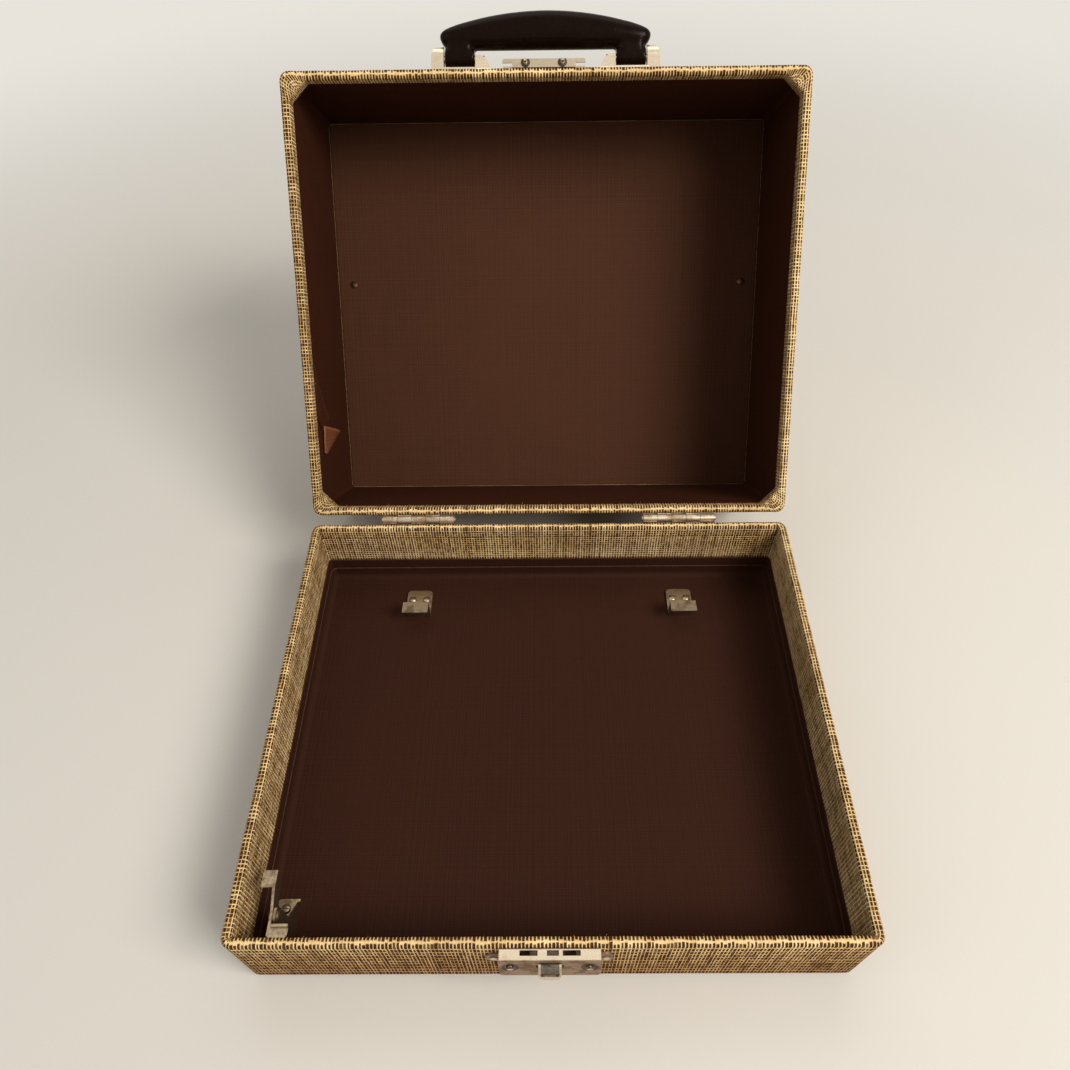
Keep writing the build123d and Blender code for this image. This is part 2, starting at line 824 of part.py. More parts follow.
def bracket_profile(side, radius):
    """The bracket's end view, as a bar along the wall: a dome about the pin on a wide foot."""
    half = bracket_depth / 2 - bracket_flange
    waist = (half + radius) / 2
    face = make_face(
        [
            Line((0, -half, 0), (0, -half, bracket_base + 1.0)),
            Line((0, -half, bracket_base + 1.0), (0, -waist, bracket_lip_height)),
            Line((0, -waist, bracket_lip_height), (0, -radius, handle_pivot_out)),
            ThreePointArc(
                (0, -radius, handle_pivot_out),
                (0, 0, handle_pivot_out + radius),
                (0, radius, handle_pivot_out),
            ),
            Line((0, radius, handle_pivot_out), (0, waist, bracket_lip_height)),
            Line((0, waist, bracket_lip_height), (0, half, bracket_base + 1.0)),
            Line((0, half, bracket_base + 1.0), (0, half, 0)),
            Line((0, half, 0), (0, -half, 0)),
        ]
    )
    return extrude(face, side * (bracket_outer_x + 10), dir=(1, 0, 0))


def handle_bracket(side):
    """One pressed bracket, standing on the lid's front wall, with a seat for the handle."""
    hump, ear = bracket_outline(side)
    inner = side * bracket_inner_x
    outer = side * bracket_outer_x
    base = RectangleRounded(abs(outer - inner), bracket_depth, 6.0)
    body = extrude(Pos((inner + outer) / 2, 0, 0) * base, bracket_base)
    hump_bar = extrude(hump, bracket_depth, dir=(0, 1, 0), both=True)
    ear_bar = extrude(ear, bracket_depth, dir=(0, 1, 0), both=True)
    body += hump_bar & bracket_profile(side, bracket_hump_radius)
    body += ear_bar & bracket_profile(side, bracket_ear_radius)
    foot_out = handle_foot_x + handle_foot_width / 2 + handle_side_gap
    foot_in = handle_foot_x - handle_foot_width / 2 - handle_side_gap
    left = min(side * foot_in, side * foot_out) - 1
    right = max(side * foot_in, side * foot_out) + 1
    far = bracket_depth / 2 - bracket_flange
    near = far - bracket_lip
    body += block(left, right, near, far, 0, bracket_lip_height)
    body += block(left, right, -far, -near, 0, bracket_lip_height)
    start = (side * (bracket_inner_x - 5), 0, handle_pivot_out)
    end = (side * (bracket_outer_x + 5), 0, handle_pivot_out)
    body -= rod(handle_pin_radius + hole_gap, start, end)
    for x in (bracket_inner_x + bracket_rivet_inset, bracket_outer_x - bracket_rivet_inset):
        body -= rod(rivet_shank_radius + hole_gap, (side * x, 0, -1), (side * x, 0, 5))
    return body


def on_front(shape):
    """Stands a piece, drawn lying on its back, on the lid's front wall."""
    place = Plane(
        origin=(0, front_y, lid_low + handle_from_rim), x_dir=(1, 0, 0), z_dir=(0, -1, 0)
    )
    return place.location * shape


def bracket_rivets():
    """The brackets' rivets through the lid's front wall."""
    group = []
    z = lid_low + handle_from_rim
    depth = cloth + board
    for side in (-1, 1):
        for x in (bracket_inner_x + bracket_rivet_inset, bracket_outer_x - bracket_rivet_inset):
            group.append(rivet("lid", side * x, front_y, z, (0, -1, 0), depth, bracket_base))
    return Compound(children=group)


def handle_pin(side):
    """The pin that the handle's foot turns on, held in the bracket's two ears."""
    start = handle_foot_x - handle_foot_width / 2 - bracket_hump * 0.75
    end = handle_foot_x + handle_foot_width / 2 + bracket_ear * 0.75
    tip = (side * end, 0, handle_pivot_out)
    return rod(handle_pin_radius, (side * start, 0, handle_pivot_out), tip)


def handle_grip():
    """The moulded grip: a long crescent, flat below, with a foot near each end."""
    sections = [
        (0.0, 0.0, 0.0, 1.0),
        (0.14, 0.0, 0.25, 1.0),
        (0.28, 0.0, 0.9, 0.995),
        (0.42, 0.0, 1.95, 0.985),
        (0.55, 0.0, 3.3, 0.965),
        (0.67, 0.0, 4.9, 0.93),
        (0.77, 0.0, 6.5, 0.885),
        (0.85, 0.1, 8.0, 0.83),
        (0.91, 0.6, 9.4, 0.76),
        (0.95, 1.7, 10.5, 0.66),
        (0.98, 3.9, 11.8, 0.48),
        (1.0, 6.6, 13.8, 0.2),
    ]
    stations = [(-share, *rest) for share, *rest in reversed(sections[1:])] + sections
    faces = []
    for share, rise, drop, thinning in stations:
        low = grip_low + rise
        high = grip_high - drop
        deep = grip_thickness * thinning
        middle = (share * handle_half_length, 0, (low + high) / 2)
        plane = Plane(origin=middle, x_dir=(0, 1, 0), z_dir=(1, 0, 0))
        radius = min(deep, high - low) * 0.46
        faces.append(plane * RectangleRounded(deep, high - low, radius))
    grip = loft(faces)
    for side in (-1, 1):
        grip += handle_foot(side)
        bore = handle_pin_radius + running_gap
        near = handle_foot_x - handle_foot_width
        far = handle_foot_x + handle_foot_width
        grip -= rod(bore, (side * near, 0, handle_pivot_out), (side * far, 0, handle_pivot_out))
    return grip


def handle_foot(side):
    """A foot of the handle: waisted under the grip and round about its pin."""
    x = side * handle_foot_x
    half = handle_foot_width / 2
    low = rod(handle_foot_radius, (x - half, 0, handle_pivot_out), (x + half, 0, handle_pivot_out))
    edges = low.edges().filter_by(GeomType.CIRCLE)
    low = fillet(edges, 0.8)
    sections = [
        (handle_pivot_out, handle_foot_width, 2 * handle_foot_radius, 1.2),
        (handle_pivot_out + 3.6, handle_foot_width - 3.2, 2 * handle_foot_radius, 2.4),
        (grip_low + 6.0, handle_foot_width + 1.6, grip_thickness * 0.76, 4.0),
    ]
    faces = [Pos(x, 0, z) * RectangleRounded(w, d, r) for z, w, d, r in sections]
    return low + loft(faces)


def clamp_upright_face():
    """Where the clamp's upright begins, just inside the lever."""
    return clamp_x + clamp_sheet / 2 + clamp_gap


def clamp_bracket():
    """The clamp's steel bracket: a foot plate towards the wall and an upright."""
    base_low = floor_top
    half = clamp_upright_length / 2
    inner = clamp_upright_face()
    right = inner + clamp_sheet
    base = block(
        right - clamp_base_width,
        right,
        clamp_y - clamp_base_length * 0.4,
        clamp_y + clamp_base_length * 0.6,
        base_low,
        base_low + clamp_sheet,
    )
    base = fillet(base.edges().filter_by(Axis.Z).group_by(Axis.X)[0], 3.0)
    stem = block(inner, right, clamp_y - half, clamp_y + half, base_low, clamp_pivot_z + 4.5)
    stem = fillet(stem.edges().filter_by(Axis.X).group_by(Axis.Z)[-1], 3.0)
    shoulder = make_face(
        Polyline(
            (inner, clamp_y - clamp_base_length * 0.4, base_low),
            (inner, clamp_y + clamp_base_length * 0.6, base_low),
            (inner, clamp_y + half, base_low + 16.0),
            (inner, clamp_y - half, base_low + 16.0),
            close=True,
        )
    )
    body = base + stem + extrude(shoulder, clamp_sheet, dir=(1, 0, 0))
    start = (inner - 2, clamp_y, clamp_pivot_z)
    body -= rod(clamp_pivot_radius, start, (inner + 5, clamp_y, clamp_pivot_z))
    for px, py in clamp_screw_places():
        body -= rod(screw_shank_radius + hole_gap, (px, py, base_low - 1), (px, py, base_low + 5))
    return body


def clamp_screw_places():
    """Two screws through the clamp's foot plate, behind the pivot."""
    x = clamp_upright_face() + clamp_sheet - clamp_base_width * 0.55
    return [(x, clamp_y - 6.0), (x, clamp_y + clamp_base_length * 0.42)]


def clamp_screws():
    """The screws that hold the clamp's foot plate to the tray's bottom board."""
    base = floor_top
    group = []
    for px, py in clamp_screw_places():
        group.append(screw("tray", px, py, base, (0, 0, 1), bottom_board, clamp_sheet))
    return Compound(children=group)


def clamp_pivot():
    """The shouldered rivet that the clamp's lever turns on."""
    inner = clamp_x + clamp_sheet / 2 + clamp_gap
    pivot = rod(
        clamp_pivot_radius,
        (clamp_x - clamp_sheet / 2 - clamp_gap, clamp_y, clamp_pivot_z),
        (inner + clamp_sheet, clamp_y, clamp_pivot_z),
    )
    left = facing(clamp_x - clamp_sheet / 2 - clamp_gap, clamp_y, clamp_pivot_z, (-1, 0, 0))
    right = facing(inner + clamp_sheet, clamp_y, clamp_pivot_z, (1, 0, 0))
    return pivot + dome_head(3.4, 1.2, left) + dome_head(3.0, 1.0, right)


def clamp_lever():
    """The clamp's lever: an arm, a finger tab at its back and a tongue at its front."""
    half = clamp_sheet / 2
    left = clamp_x - half
    right = clamp_x + half
    tab_high = clamp_pivot_z + clamp_arm_rise
    tab_back = clamp_y + clamp_arm_length
    tongue_high = clamp_pivot_z + clamp_arm_width / 2 + 1.0
    tongue_back = clamp_y - clamp_upright_length / 2 - 1.2
    tongue_front = tongue_back - clamp_tongue_length
    low = clamp_pivot_z - clamp_arm_width / 2 - 1.0
    arm = make_face(
        Polyline(
            (left, clamp_y - 4.0, low),
            (left, clamp_y + 4.0, low),
            (left, tab_back, tab_high - 2.6),
            (left, tab_back, tab_high),
            (left, tab_back - clamp_tab_length, tab_high),
            (left, clamp_y, tongue_high),
            (left, tongue_front + 2.0, tongue_high),
            (left, tongue_front + 2.0, tongue_high - 2.4),
            close=True,
        )
    )
    lever = extrude(arm, clamp_sheet, dir=(1, 0, 0))
    tab_left = right - clamp_tab_width
    tab_front = tab_back - clamp_tab_length
    tab = block(tab_left, right, tab_front, tab_back, tab_high - clamp_sheet, tab_high)
    tab = fillet(tab.edges().filter_by(Axis.Z).group_by(Axis.X)[0], 1.4)
    tip = right + clamp_tongue_width
    under = tongue_high - clamp_sheet
    tongue = block(left, tip, tongue_front, tongue_back, under, tongue_high)
    nose = tongue.edges().filter_by(Axis.Z).group_by(Axis.Y)[0]
    tongue = fillet(nose, 3.6)
    lip_high = tongue_high + clamp_tongue_lip
    lip = block(right, tip, tongue_back - clamp_sheet, tongue_back, under, lip_high)
    lever = lever + tab + tongue + lip
    bore = clamp_pivot_radius + running_gap
    start = (clamp_x - 3, clamp_y, clamp_pivot_z)
    return lever - rod(bore, start, (clamp_x + 3, clamp_y, clamp_pivot_z))


def rear_hook(side):
    """A folded steel hook that the contents' back edge slides under."""
    x = side * hook_x
    half = hook_width / 2
    low = floor_top
    high = low + hook_rise
    face = make_face(
        Polyline(
            (x - half, hook_y, low),
            (x - half, hook_y + hook_base_length, low),
            (x - half, hook_y + hook_base_length, low + hook_sheet),
            (x - half, hook_y + hook_sheet, low + hook_sheet),
            (x - half, hook_y + hook_sheet, high),
            (x - half, hook_y - hook_reach, high + 1.0),
            (x - half, hook_y - hook_reach, high - hook_sheet + 1.0),
            (x - half, hook_y, high - hook_sheet),
            close=True,
        )
    )
    hook = extrude(face, hook_width, dir=(1, 0, 0))
    ends = hook.edges().filter_by(Axis.Z).group_by(Axis.Y)
    hook = fillet(ends[-1], 3.0)
    for px, py in rear_hook_screw_places(side):
        hook -= rod(screw_shank_radius + hole_gap, (px, py, low - 1), (px, py, low + 4))
    return hook


def rear_hook_screw_places(side):
    """Two screws side by side in the hook's foot."""
    y = hook_y + hook_base_length * 0.62
    return [(side * hook_x - 5.0, y), (side * hook_x + 5.0, y)]


def rear_hook_screws():
    """The screws of both rear hooks."""
    base = floor_top
    group = []
    for side in (-1, 1):
        for px, py in rear_hook_screw_places(side):
            group.append(screw("tray", px, py, base, (0, 0, 1), bottom_board, hook_sheet))
    return Compound(children=group)


def panel_tacks():
    """Two domed tacks that hold the lid's top lining to its board."""
    low = lid_top - cloth - top_board - panel_lining
    group = []
    for x in (-tack_x, tack_x):
        y = back_y - tack_from_back
        nail = rod(0.8, (x, y, low), (x, y, low + 4.0))
        drills["lid"].append(rod(0.8 + hole_gap, (x, y, low), (x, y, low + 4.0)))
        group.append(nail + dome_head(tack_radius, tack_height, facing(x, y, low, (0, 0, -1))))
    return Compound(children=group)


def build():
    """Makes every piece of the case, in its place, and returns them by name."""
    pieces = {}
    lid_pieces = {}

    pieces["bottom_feet"], pieces["bottom_foot_screws"] = bottom_feet()
    tray_foot_z = foot_height + back_foot_inset
    pieces["tray_back_feet"], pieces["tray_back_foot_screws"] = back_feet("tray", tray_foot_z)
    pieces["lock_ear_rivets"] = lock_ear_rivets()
    pieces["lock_front_rivets"] = lock_front_rivets()
    pieces["tray_hinge_rivets"] = hinge_rivets("tray", False)
    pieces["clamp_screws"] = clamp_screws()
    pieces["rear_hook_screws"] = rear_hook_screws()

    core = tray_core()
    slab = block_inside(case_width + 10, case_depth + 10, foot_height - 1, floor_z)
    walls = split_walls(core - slab, floor_z, rim_z + 1)
    names = ["tray_front_board", "tray_back_board", "tray_left_board", "tray_right_board"]
    pieces["tray_bottom_board"] = drilled(core & slab, "tray")
    for name, shape in zip(names, walls):
        pieces[name] = drilled(shape, "tray")
    pieces["tray_tweed_cover"] = drilled(tray_cloth(core), "tray")
    skirt_top = floor_z + skirt_height
    pieces["tray_inner_tweed"] = lining_ring(skirt_top, rim_z - tray_wrap, wall_lining)
    pieces["tray_skirt_lining"] = lining_ring(floor_z, skirt_top, wall_lining)
    pieces["tray_floor_lining"] = drilled(tray_floor_cloth(), "tray")
    under_gap = 2 * (under_wrap + lining_gap)
    under = block_inside(
        case_width - under_gap, case_depth - under_gap, foot_height - cloth, foot_height
    )
    pieces["tray_under_cloth"] = drilled(under, "tray")

    pieces["lock_back_plate"] = lock_back_plate()
    case = lock_case()
    pieces["lock_case"] = case
    pieces["lock_front_plate"] = lock_front_plate()
    pieces["lock_slide_plate"] = lock_slide_plate()
    pieces["lock_thumb_slide"] = thumb_slide()

    for side, word in ((-1, "left"), (1, "right")):
        pieces[f"{word}_hinge_tray_leaf"] = hinge_leaf(side * hinge_x, False)
        pieces[f"{word}_hinge_pin"] = hinge_pin(side * hinge_x)
        pieces[f"{word}_rear_hook"] = rear_hook(side)

    pieces["clamp_bracket"] = clamp_bracket()
    pieces["clamp_pivot_rivet"] = clamp_pivot()
    pieces["clamp_lever"] = clamp_lever()

    lid_foot_z = lid_top - back_foot_inset
    lid_pieces["lid_back_feet"], lid_pieces["lid_back_foot_screws"] = back_feet("lid", lid_foot_z)
    lid_pieces["hasp_rivets"] = hasp_rivets()
    lid_pieces["handle_bracket_rivets"] = bracket_rivets()
    lid_pieces["lid_hinge_rivets"] = hinge_rivets("lid", True)
    lid_pieces["lid_panel_tacks"] = panel_tacks()

    core = lid_core()
    ceiling = lid_top - cloth - top_board
    slab = block_inside(case_width + 10, case_depth + 10, ceiling, lid_top + 1)
    walls = split_walls(core - slab, lid_low - 1, ceiling)
    names = ["lid_front_board", "lid_back_board", "lid_left_board", "lid_right_board"]
    lid_pieces["lid_top_board"] = drilled(core & slab, "lid")
    for name, shape in zip(names, walls):
        lid_pieces[name] = drilled(shape, "lid")
    lid_pieces["lid_tweed_cover"] = drilled(lid_cloth(core), "lid")
    lid_pieces["lid_wall_lining"] = drilled(lid_wall_cloth(), "lid")
    lid_pieces["lid_panel_lining"] = drilled(lid_panel(), "lid")

    lid_pieces["hasp_plate"] = hasp_plate()
    lid_pieces["hasp_studs"] = hasp_studs()
    for side, word in ((-1, "left"), (1, "right")):
        lid_pieces[f"{word}_hinge_lid_leaf"] = hinge_leaf(side * hinge_x, True)
        lid_pieces[f"{word}_handle_bracket"] = on_front(handle_bracket(side))
        lid_pieces[f"{word}_handle_pin"] = on_front(handle_pin(side))
    lid_pieces["handle_grip"] = on_front(handle_grip())

    for name, shape in lid_pieces.items():
        pieces[name] = opened(shape)
    return pieces


os.makedirs("parts", exist_ok=True)
pieces = build()
whole = Compound(children=[copy.copy(shape) for shape in pieces.values()]).bounding_box()
middle_y = (whole.min.Y + whole.max.Y) / 2
print(f"opened {open_angle:.3f} degrees, moved forward by {middle_y:.3f}")
for name, shape in pieces.items():
    export_step(Pos(0, -middle_y, 0) * shape, f"parts/{name}.step")
    print(name)
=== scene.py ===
import json
import math
from types import SimpleNamespace

import bmesh
import bpy
from mathutils import Matrix, Vector, noise


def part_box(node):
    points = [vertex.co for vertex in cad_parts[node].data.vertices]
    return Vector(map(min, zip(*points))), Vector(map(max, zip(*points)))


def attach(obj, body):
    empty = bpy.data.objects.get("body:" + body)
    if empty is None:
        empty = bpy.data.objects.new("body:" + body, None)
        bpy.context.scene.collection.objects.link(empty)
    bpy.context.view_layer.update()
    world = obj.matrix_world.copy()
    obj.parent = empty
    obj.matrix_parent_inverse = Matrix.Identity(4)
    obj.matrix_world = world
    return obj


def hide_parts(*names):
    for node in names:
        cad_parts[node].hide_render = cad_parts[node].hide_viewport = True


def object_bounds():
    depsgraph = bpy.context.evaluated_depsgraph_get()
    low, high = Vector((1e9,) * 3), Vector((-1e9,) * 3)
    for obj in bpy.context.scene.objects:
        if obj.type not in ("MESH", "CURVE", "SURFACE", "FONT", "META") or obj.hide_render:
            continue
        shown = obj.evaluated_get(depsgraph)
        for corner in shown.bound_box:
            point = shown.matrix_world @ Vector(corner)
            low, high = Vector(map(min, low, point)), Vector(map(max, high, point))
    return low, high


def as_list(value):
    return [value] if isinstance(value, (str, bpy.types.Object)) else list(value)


# A tweed-covered carrying case, standing open: a low tray and a deep lid that leans
# back on its hinges. The pressed metal and the boards are the CAD model's own solids,
# and the cloth, the linings and the moulded grip are dressed here. Sizes are in metres.

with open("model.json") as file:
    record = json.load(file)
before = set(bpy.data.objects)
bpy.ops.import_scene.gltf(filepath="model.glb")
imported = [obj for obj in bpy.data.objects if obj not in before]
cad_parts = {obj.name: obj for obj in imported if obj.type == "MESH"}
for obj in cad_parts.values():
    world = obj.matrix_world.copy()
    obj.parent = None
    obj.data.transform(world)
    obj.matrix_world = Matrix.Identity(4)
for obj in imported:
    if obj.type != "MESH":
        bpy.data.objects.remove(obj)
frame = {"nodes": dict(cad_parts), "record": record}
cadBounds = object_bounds()
joints = {joint["name"]: joint for joint in frame["record"]["behaviour"]["joints"]}
scene = bpy.context.scene
print("frame loaded:", len(frame["nodes"]), "nodes")


def boxCorners(nodeName):
    return [Vector(corner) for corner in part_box(nodeName)]


# places on the case
trayLow, trayHigh = boxCorners("tray_tweed_cover")
caseWidth = trayHigh.x - trayLow.x
caseDepth = trayHigh.y - trayLow.y
trayMiddleY = (trayLow.y + trayHigh.y) / 2
hingePoint = Vector(joints["lid_hinge"]["pos_m"])
openAngle = math.radians(joints["lid_hinge"]["range_deg"][1])
lidLow = hingePoint.z + 0.0002  # the closed lid's rim
lidTop = lidLow + 0.108
clothThickness = 0.0007
wallThickness = 0.0054
outerCorner = 0.006  # the case's corner radius
boardFace = 0.0047  # from the outside to the boards' inner faces
insideX, insideY = caseWidth / 2 - boardFace, caseDepth / 2 - boardFace

# from the closed case round its own middle to where the pieces stand
levelTray = Matrix.Translation((0, trayMiddleY, 0))
toHinge = Matrix.Translation(hingePoint)
openLid = toHinge @ Matrix.Rotation(-openAngle, 4, "X") @ toHinge.inverted()
standOpen = openLid @ levelTray


# node helpers
def srgb(red, green, blue):
    # a colour as it is seen, 0 to 255, in the values that shaders take
    def linear(value):
        value /= 255
        return value / 12.92 if value <= 0.04045 else ((value + 0.055) / 1.055) ** 2.4

    return (linear(red), linear(green), linear(blue), 1.0)


def treeOf(values):
    # the node tree of the sockets among some values
    return next(value.id_data for value in values if isinstance(value, bpy.types.NodeSocket))


def feed(socket, value):
    if isinstance(value, bpy.types.NodeSocket):
        socket.id_data.links.new(value, socket)
    elif value is not None:
        socket.default_value = value


def feedInOrder(node, values):
    for socket, value in zip(node.inputs, values):
        feed(socket, value)


def addNode(kind, settings=None, tree=None, **inputs):
    # into the tree of its inputs, where no tree is given
    node = (tree or treeOf(inputs.values())).nodes.new(kind)
    for name, value in (settings or {}).items():
        setattr(node, name, value)
    for name, value in inputs.items():
        feed(node.inputs[name], value)
    return node


def maths(operation, *values):
    node = addNode("ShaderNodeMath", {"operation": operation}, treeOf(values))
    feedInOrder(node, values)
    return node.outputs[0]


def chained(operation):
    def chain(first, *others):
        for other in others:
            first = maths(operation, first, other)
        return first

    return chain


times, plus, minus, largest = (chained(name) for name in ("MULTIPLY", "ADD", "SUBTRACT", "MAXIMUM"))


def wave(value):
    return maths("COSINE", times(value, 2 * math.pi))


def vectorMaths(operation, *values):
    node = addNode("ShaderNodeVectorMath", {"operation": operation}, treeOf(values))
    feedInOrder(node, values)
    return node.outputs["Value" if operation == "LENGTH" else "Vector"]


def mixColour(factor, first, second):
    node = addNode("ShaderNodeMix", {"data_type": "RGBA"}, factor.id_data)
    for index, value in ((0, factor), (6, first), (7, second)):
        feed(node.inputs[index], value)
    return node.outputs[2]


def ramp(value, low, high, toLow=0.0, toHigh=1.0):
    node = addNode("ShaderNodeMapRange", {"interpolation_type": "SMOOTHSTEP"}, value.id_data)
    feedInOrder(node, (value, low, high, toLow, toHigh))
    return node.outputs[0]


def noiseValue(vector, scale, detail=2.0, roughness=0.5):
    settings = {"Scale": scale, "Detail": detail, "Roughness": roughness}
    return addNode("ShaderNodeTexNoise", Vector=vector, **settings).outputs["Fac"]


def spots(vector, scale, inner, outer):
    node = addNode("ShaderNodeTexVoronoi", {"feature": "F1"}, Vector=vector, Scale=scale)
    return ramp(node.outputs["Distance"], inner, outer, 1.0, 0.0)


def separate(vector):
    return addNode("ShaderNodeSeparateXYZ", Vector=vector).outputs


def stretchedPlace(vector, scale, rotation=(0.0, 0.0, 0.0)):
    return addNode("ShaderNodeMapping", Vector=vector, Scale=scale, Rotation=rotation).outputs[0]


def newGroup(name, inputs, outputs):
    # each input is a name and its value, or none for a vector
    tree = bpy.data.node_groups.new(name, "ShaderNodeTree")
    for socketName, value in inputs.items():
        kind = "NodeSocketVector" if value is None else "NodeSocketFloat"
        socket = tree.interface.new_socket(socketName, in_out="INPUT", socket_type=kind)
        if value is not None:
            socket.default_value = value
    for socketName in outputs:
        tree.interface.new_socket(socketName, in_out="OUTPUT", socket_type="NodeSocketFloat")
    return tree.nodes.new("NodeGroupInput").outputs, tree.nodes.new("NodeGroupOutput").inputs


def useGroup(group, **inputs):
    settings = {"node_tree": bpy.data.node_groups[group]}
    return addNode("ShaderNodeGroup", settings, **inputs).outputs


def newMaterial(name):
    # gives the shader and the place on the object
    material = bpy.data.materials.new(name)
    material.use_nodes = True
    shader = material.node_tree.nodes["Principled BSDF"]
    return shader, addNode("ShaderNodeTexCoord", tree=shader.id_data).outputs["Object"]


def clothPlace(shader):
    return addNode("ShaderNodeUVMap", {"uv_map": "weave"}, shader.id_data).outputs[0]


def dress(shader, colour, roughness, height, distance, strength, specular=0.5):
    # what every finish feeds: colour, roughness and a bump
    feed(shader.inputs["Base Color"], colour)
    feed(shader.inputs["Roughness"], roughness)
    bump = addNode("ShaderNodeBump", Height=height, Distance=distance, Strength=strength)
    feed(shader.inputs["Normal"], bump.outputs["Normal"])
    feed(shader.inputs["Specular IOR Level"], specular)


# shared effects
def buildTweedWeave():
    # cream threads with a dark dash in every cell, on a flat position
    inputs = {"Vector": None, "Pitch Across": 0.0019, "Pitch Along": 0.0023,
              "Dash Width": 0.72, "Dash Length": 0.8}
    given, out = newGroup("tweedWeave", inputs, ("Dash", "Height", "Thread Tone"))

    def wander(scale, size):
        # moves the pattern a little, so that no thread runs straight
        pattern = addNode("ShaderNodeTexNoise", Vector=given["Vector"], Scale=scale, Detail=2.0)
        centred = vectorMaths("SUBTRACT", pattern.outputs["Color"], (0.5, 0.5, 0.5))
        return addNode("ShaderNodeVectorMath", {"operation": "SCALE"}, Vector=centred, Scale=size).outputs[0]

    both = vectorMaths("ADD", wander(1100.0, 0.00045), wander(55.0, 0.0002))
    moved = vectorMaths("ADD", given["Vector"], both)
    apart = separate(moved)
    across = maths("DIVIDE", apart[0], given["Pitch Across"])
    along = maths("DIVIDE", apart[1], given["Pitch Along"])
    column = maths("FLOOR", across)
    row = maths("FLOOR", along)
    cell = addNode("ShaderNodeCombineXYZ", X=column, Y=row).outputs[0]
    cellNoise = addNode("ShaderNodeTexWhiteNoise", {"noise_dimensions": "2D"}, Vector=cell)
    cellParts = separate(cellNoise.outputs["Color"])

    def threadNoise(value):
        return addNode("ShaderNodeTexWhiteNoise", {"noise_dimensions": "1D"}, W=value).outputs["Value"]

    columnNoise = threadNoise(column)
    rowNoise = threadNoise(plus(row, 71.0))

    def dash(position, size, randoms, spread):
        # one side of the dash, soft at its ends
        inside = maths("ABSOLUTE", minus(maths("FRACT", position), 0.5))
        half = times(size, 0.5)
        for value, share in randoms:
            half = plus(half, times(minus(value, 0.5), share * spread))
        return ramp(inside, minus(half, 0.06), plus(half, 0.06), 1.0, 0.0)

    wide = dash(across, given["Dash Width"], [(cellParts[0], 0.6), (columnNoise, 0.6)], 0.22)
    tall = dash(along, given["Dash Length"], [(cellParts[1], 0.7), (rowNoise, 0.5)], 0.26)
    strength = ramp(cellParts[2], 0.0, 0.3, 0.88, 1.0)
    mask = times(wide, tall, strength)
    threads = plus(times(wave(across), 0.16), times(wave(along), 0.12))
    fibre = times(noiseValue(moved, 2600.0, 3.0), 0.22)
    feed(out["Dash"], mask)
    feed(out["Height"], minus(plus(0.6, threads, fibre), times(mask, 0.45)))
    feed(out["Thread Tone"], times(plus(columnNoise, rowNoise), 0.5))


def buildLiningWeave():
    # fine book cloth: close threads, a few heavier ones, on a flat position
    given, out = newGroup("liningWeave", {"Vector": None, "Pitch": 0.00062}, ("Height", "Streak"))
    lean = times(minus(noiseValue(given["Vector"], 90.0, 3.0), 0.5), 0.0016)
    ways = []
    heavier = []
    for side, share in zip(separate(given["Vector"]), (0.6, 0.4)):
        way = maths("DIVIDE", plus(side, lean), given["Pitch"])
        pattern = addNode("ShaderNodeTexNoise", {"noise_dimensions": "1D"},
                          W=times(way, 0.9), Scale=1.0, Detail=3.0)
        ways.append(wave(way))
        heavier.append(times(pattern.outputs["Fac"], share))
    streak = minus(plus(*heavier), 0.5)
    feed(out["Height"], plus(times(ways[0], ways[1], 0.25), streak))
    feed(out["Streak"], plus(streak, 0.5))


def buildAgeing():
    # soft patches of soil, rubbed places and specks, anywhere on the case
    inputs = {"Vector": None, "Size": 14.0, "Sharpness": 0.12}
    given, out = newGroup("ageing", inputs, ("Soil", "Rub", "Speck"))
    broad = noiseValue(given["Vector"], given["Size"], 5.0, 0.6)
    fine = noiseValue(given["Vector"], times(given["Size"], 9.0), 4.0, 0.65)
    blend = plus(times(broad, 0.65), times(fine, 0.35))
    low = minus(0.5, given["Sharpness"])
    high = plus(0.5, given["Sharpness"])
    feed(out["Soil"], ramp(blend, low, high))
    feed(out["Rub"], ramp(fine, 0.55, 0.78))
    feed(out["Speck"], spots(given["Vector"], 260.0, 0.0, 0.16))


def buildMetalWear():
    # scratches, brown tarnish and pits for plated steel
    inputs = {"Vector": None, "Tarnish": 0.5, "Pitting": 0.3}
    given, out = newGroup("metalWear", inputs, ("Tarnish", "Scratch", "Pits", "Height"))
    broad = noiseValue(given["Vector"], 130.0, 6.0, 0.62)
    edge = minus(0.78, times(given["Tarnish"], 0.5))
    lines = stretchedPlace(given["Vector"], (1.0, 14.0, 14.0), (0.3, 0.2, 0.25))
    scratch = ramp(noiseValue(lines, 210.0, 4.0, 0.7), 0.55, 0.72)
    where = ramp(noiseValue(given["Vector"], 300.0, 3.0), 0.48, 0.62)
    pits = times(spots(given["Vector"], 900.0, 0.08, 0.34), where, given["Pitting"])
    rise = plus(times(scratch, 0.1), times(broad, 0.25))
    feed(out["Tarnish"], ramp(broad, edge, plus(edge, 0.25)))
    feed(out["Scratch"], scratch)
    feed(out["Pits"], pits)
    feed(out["Height"], minus(rise, pits))


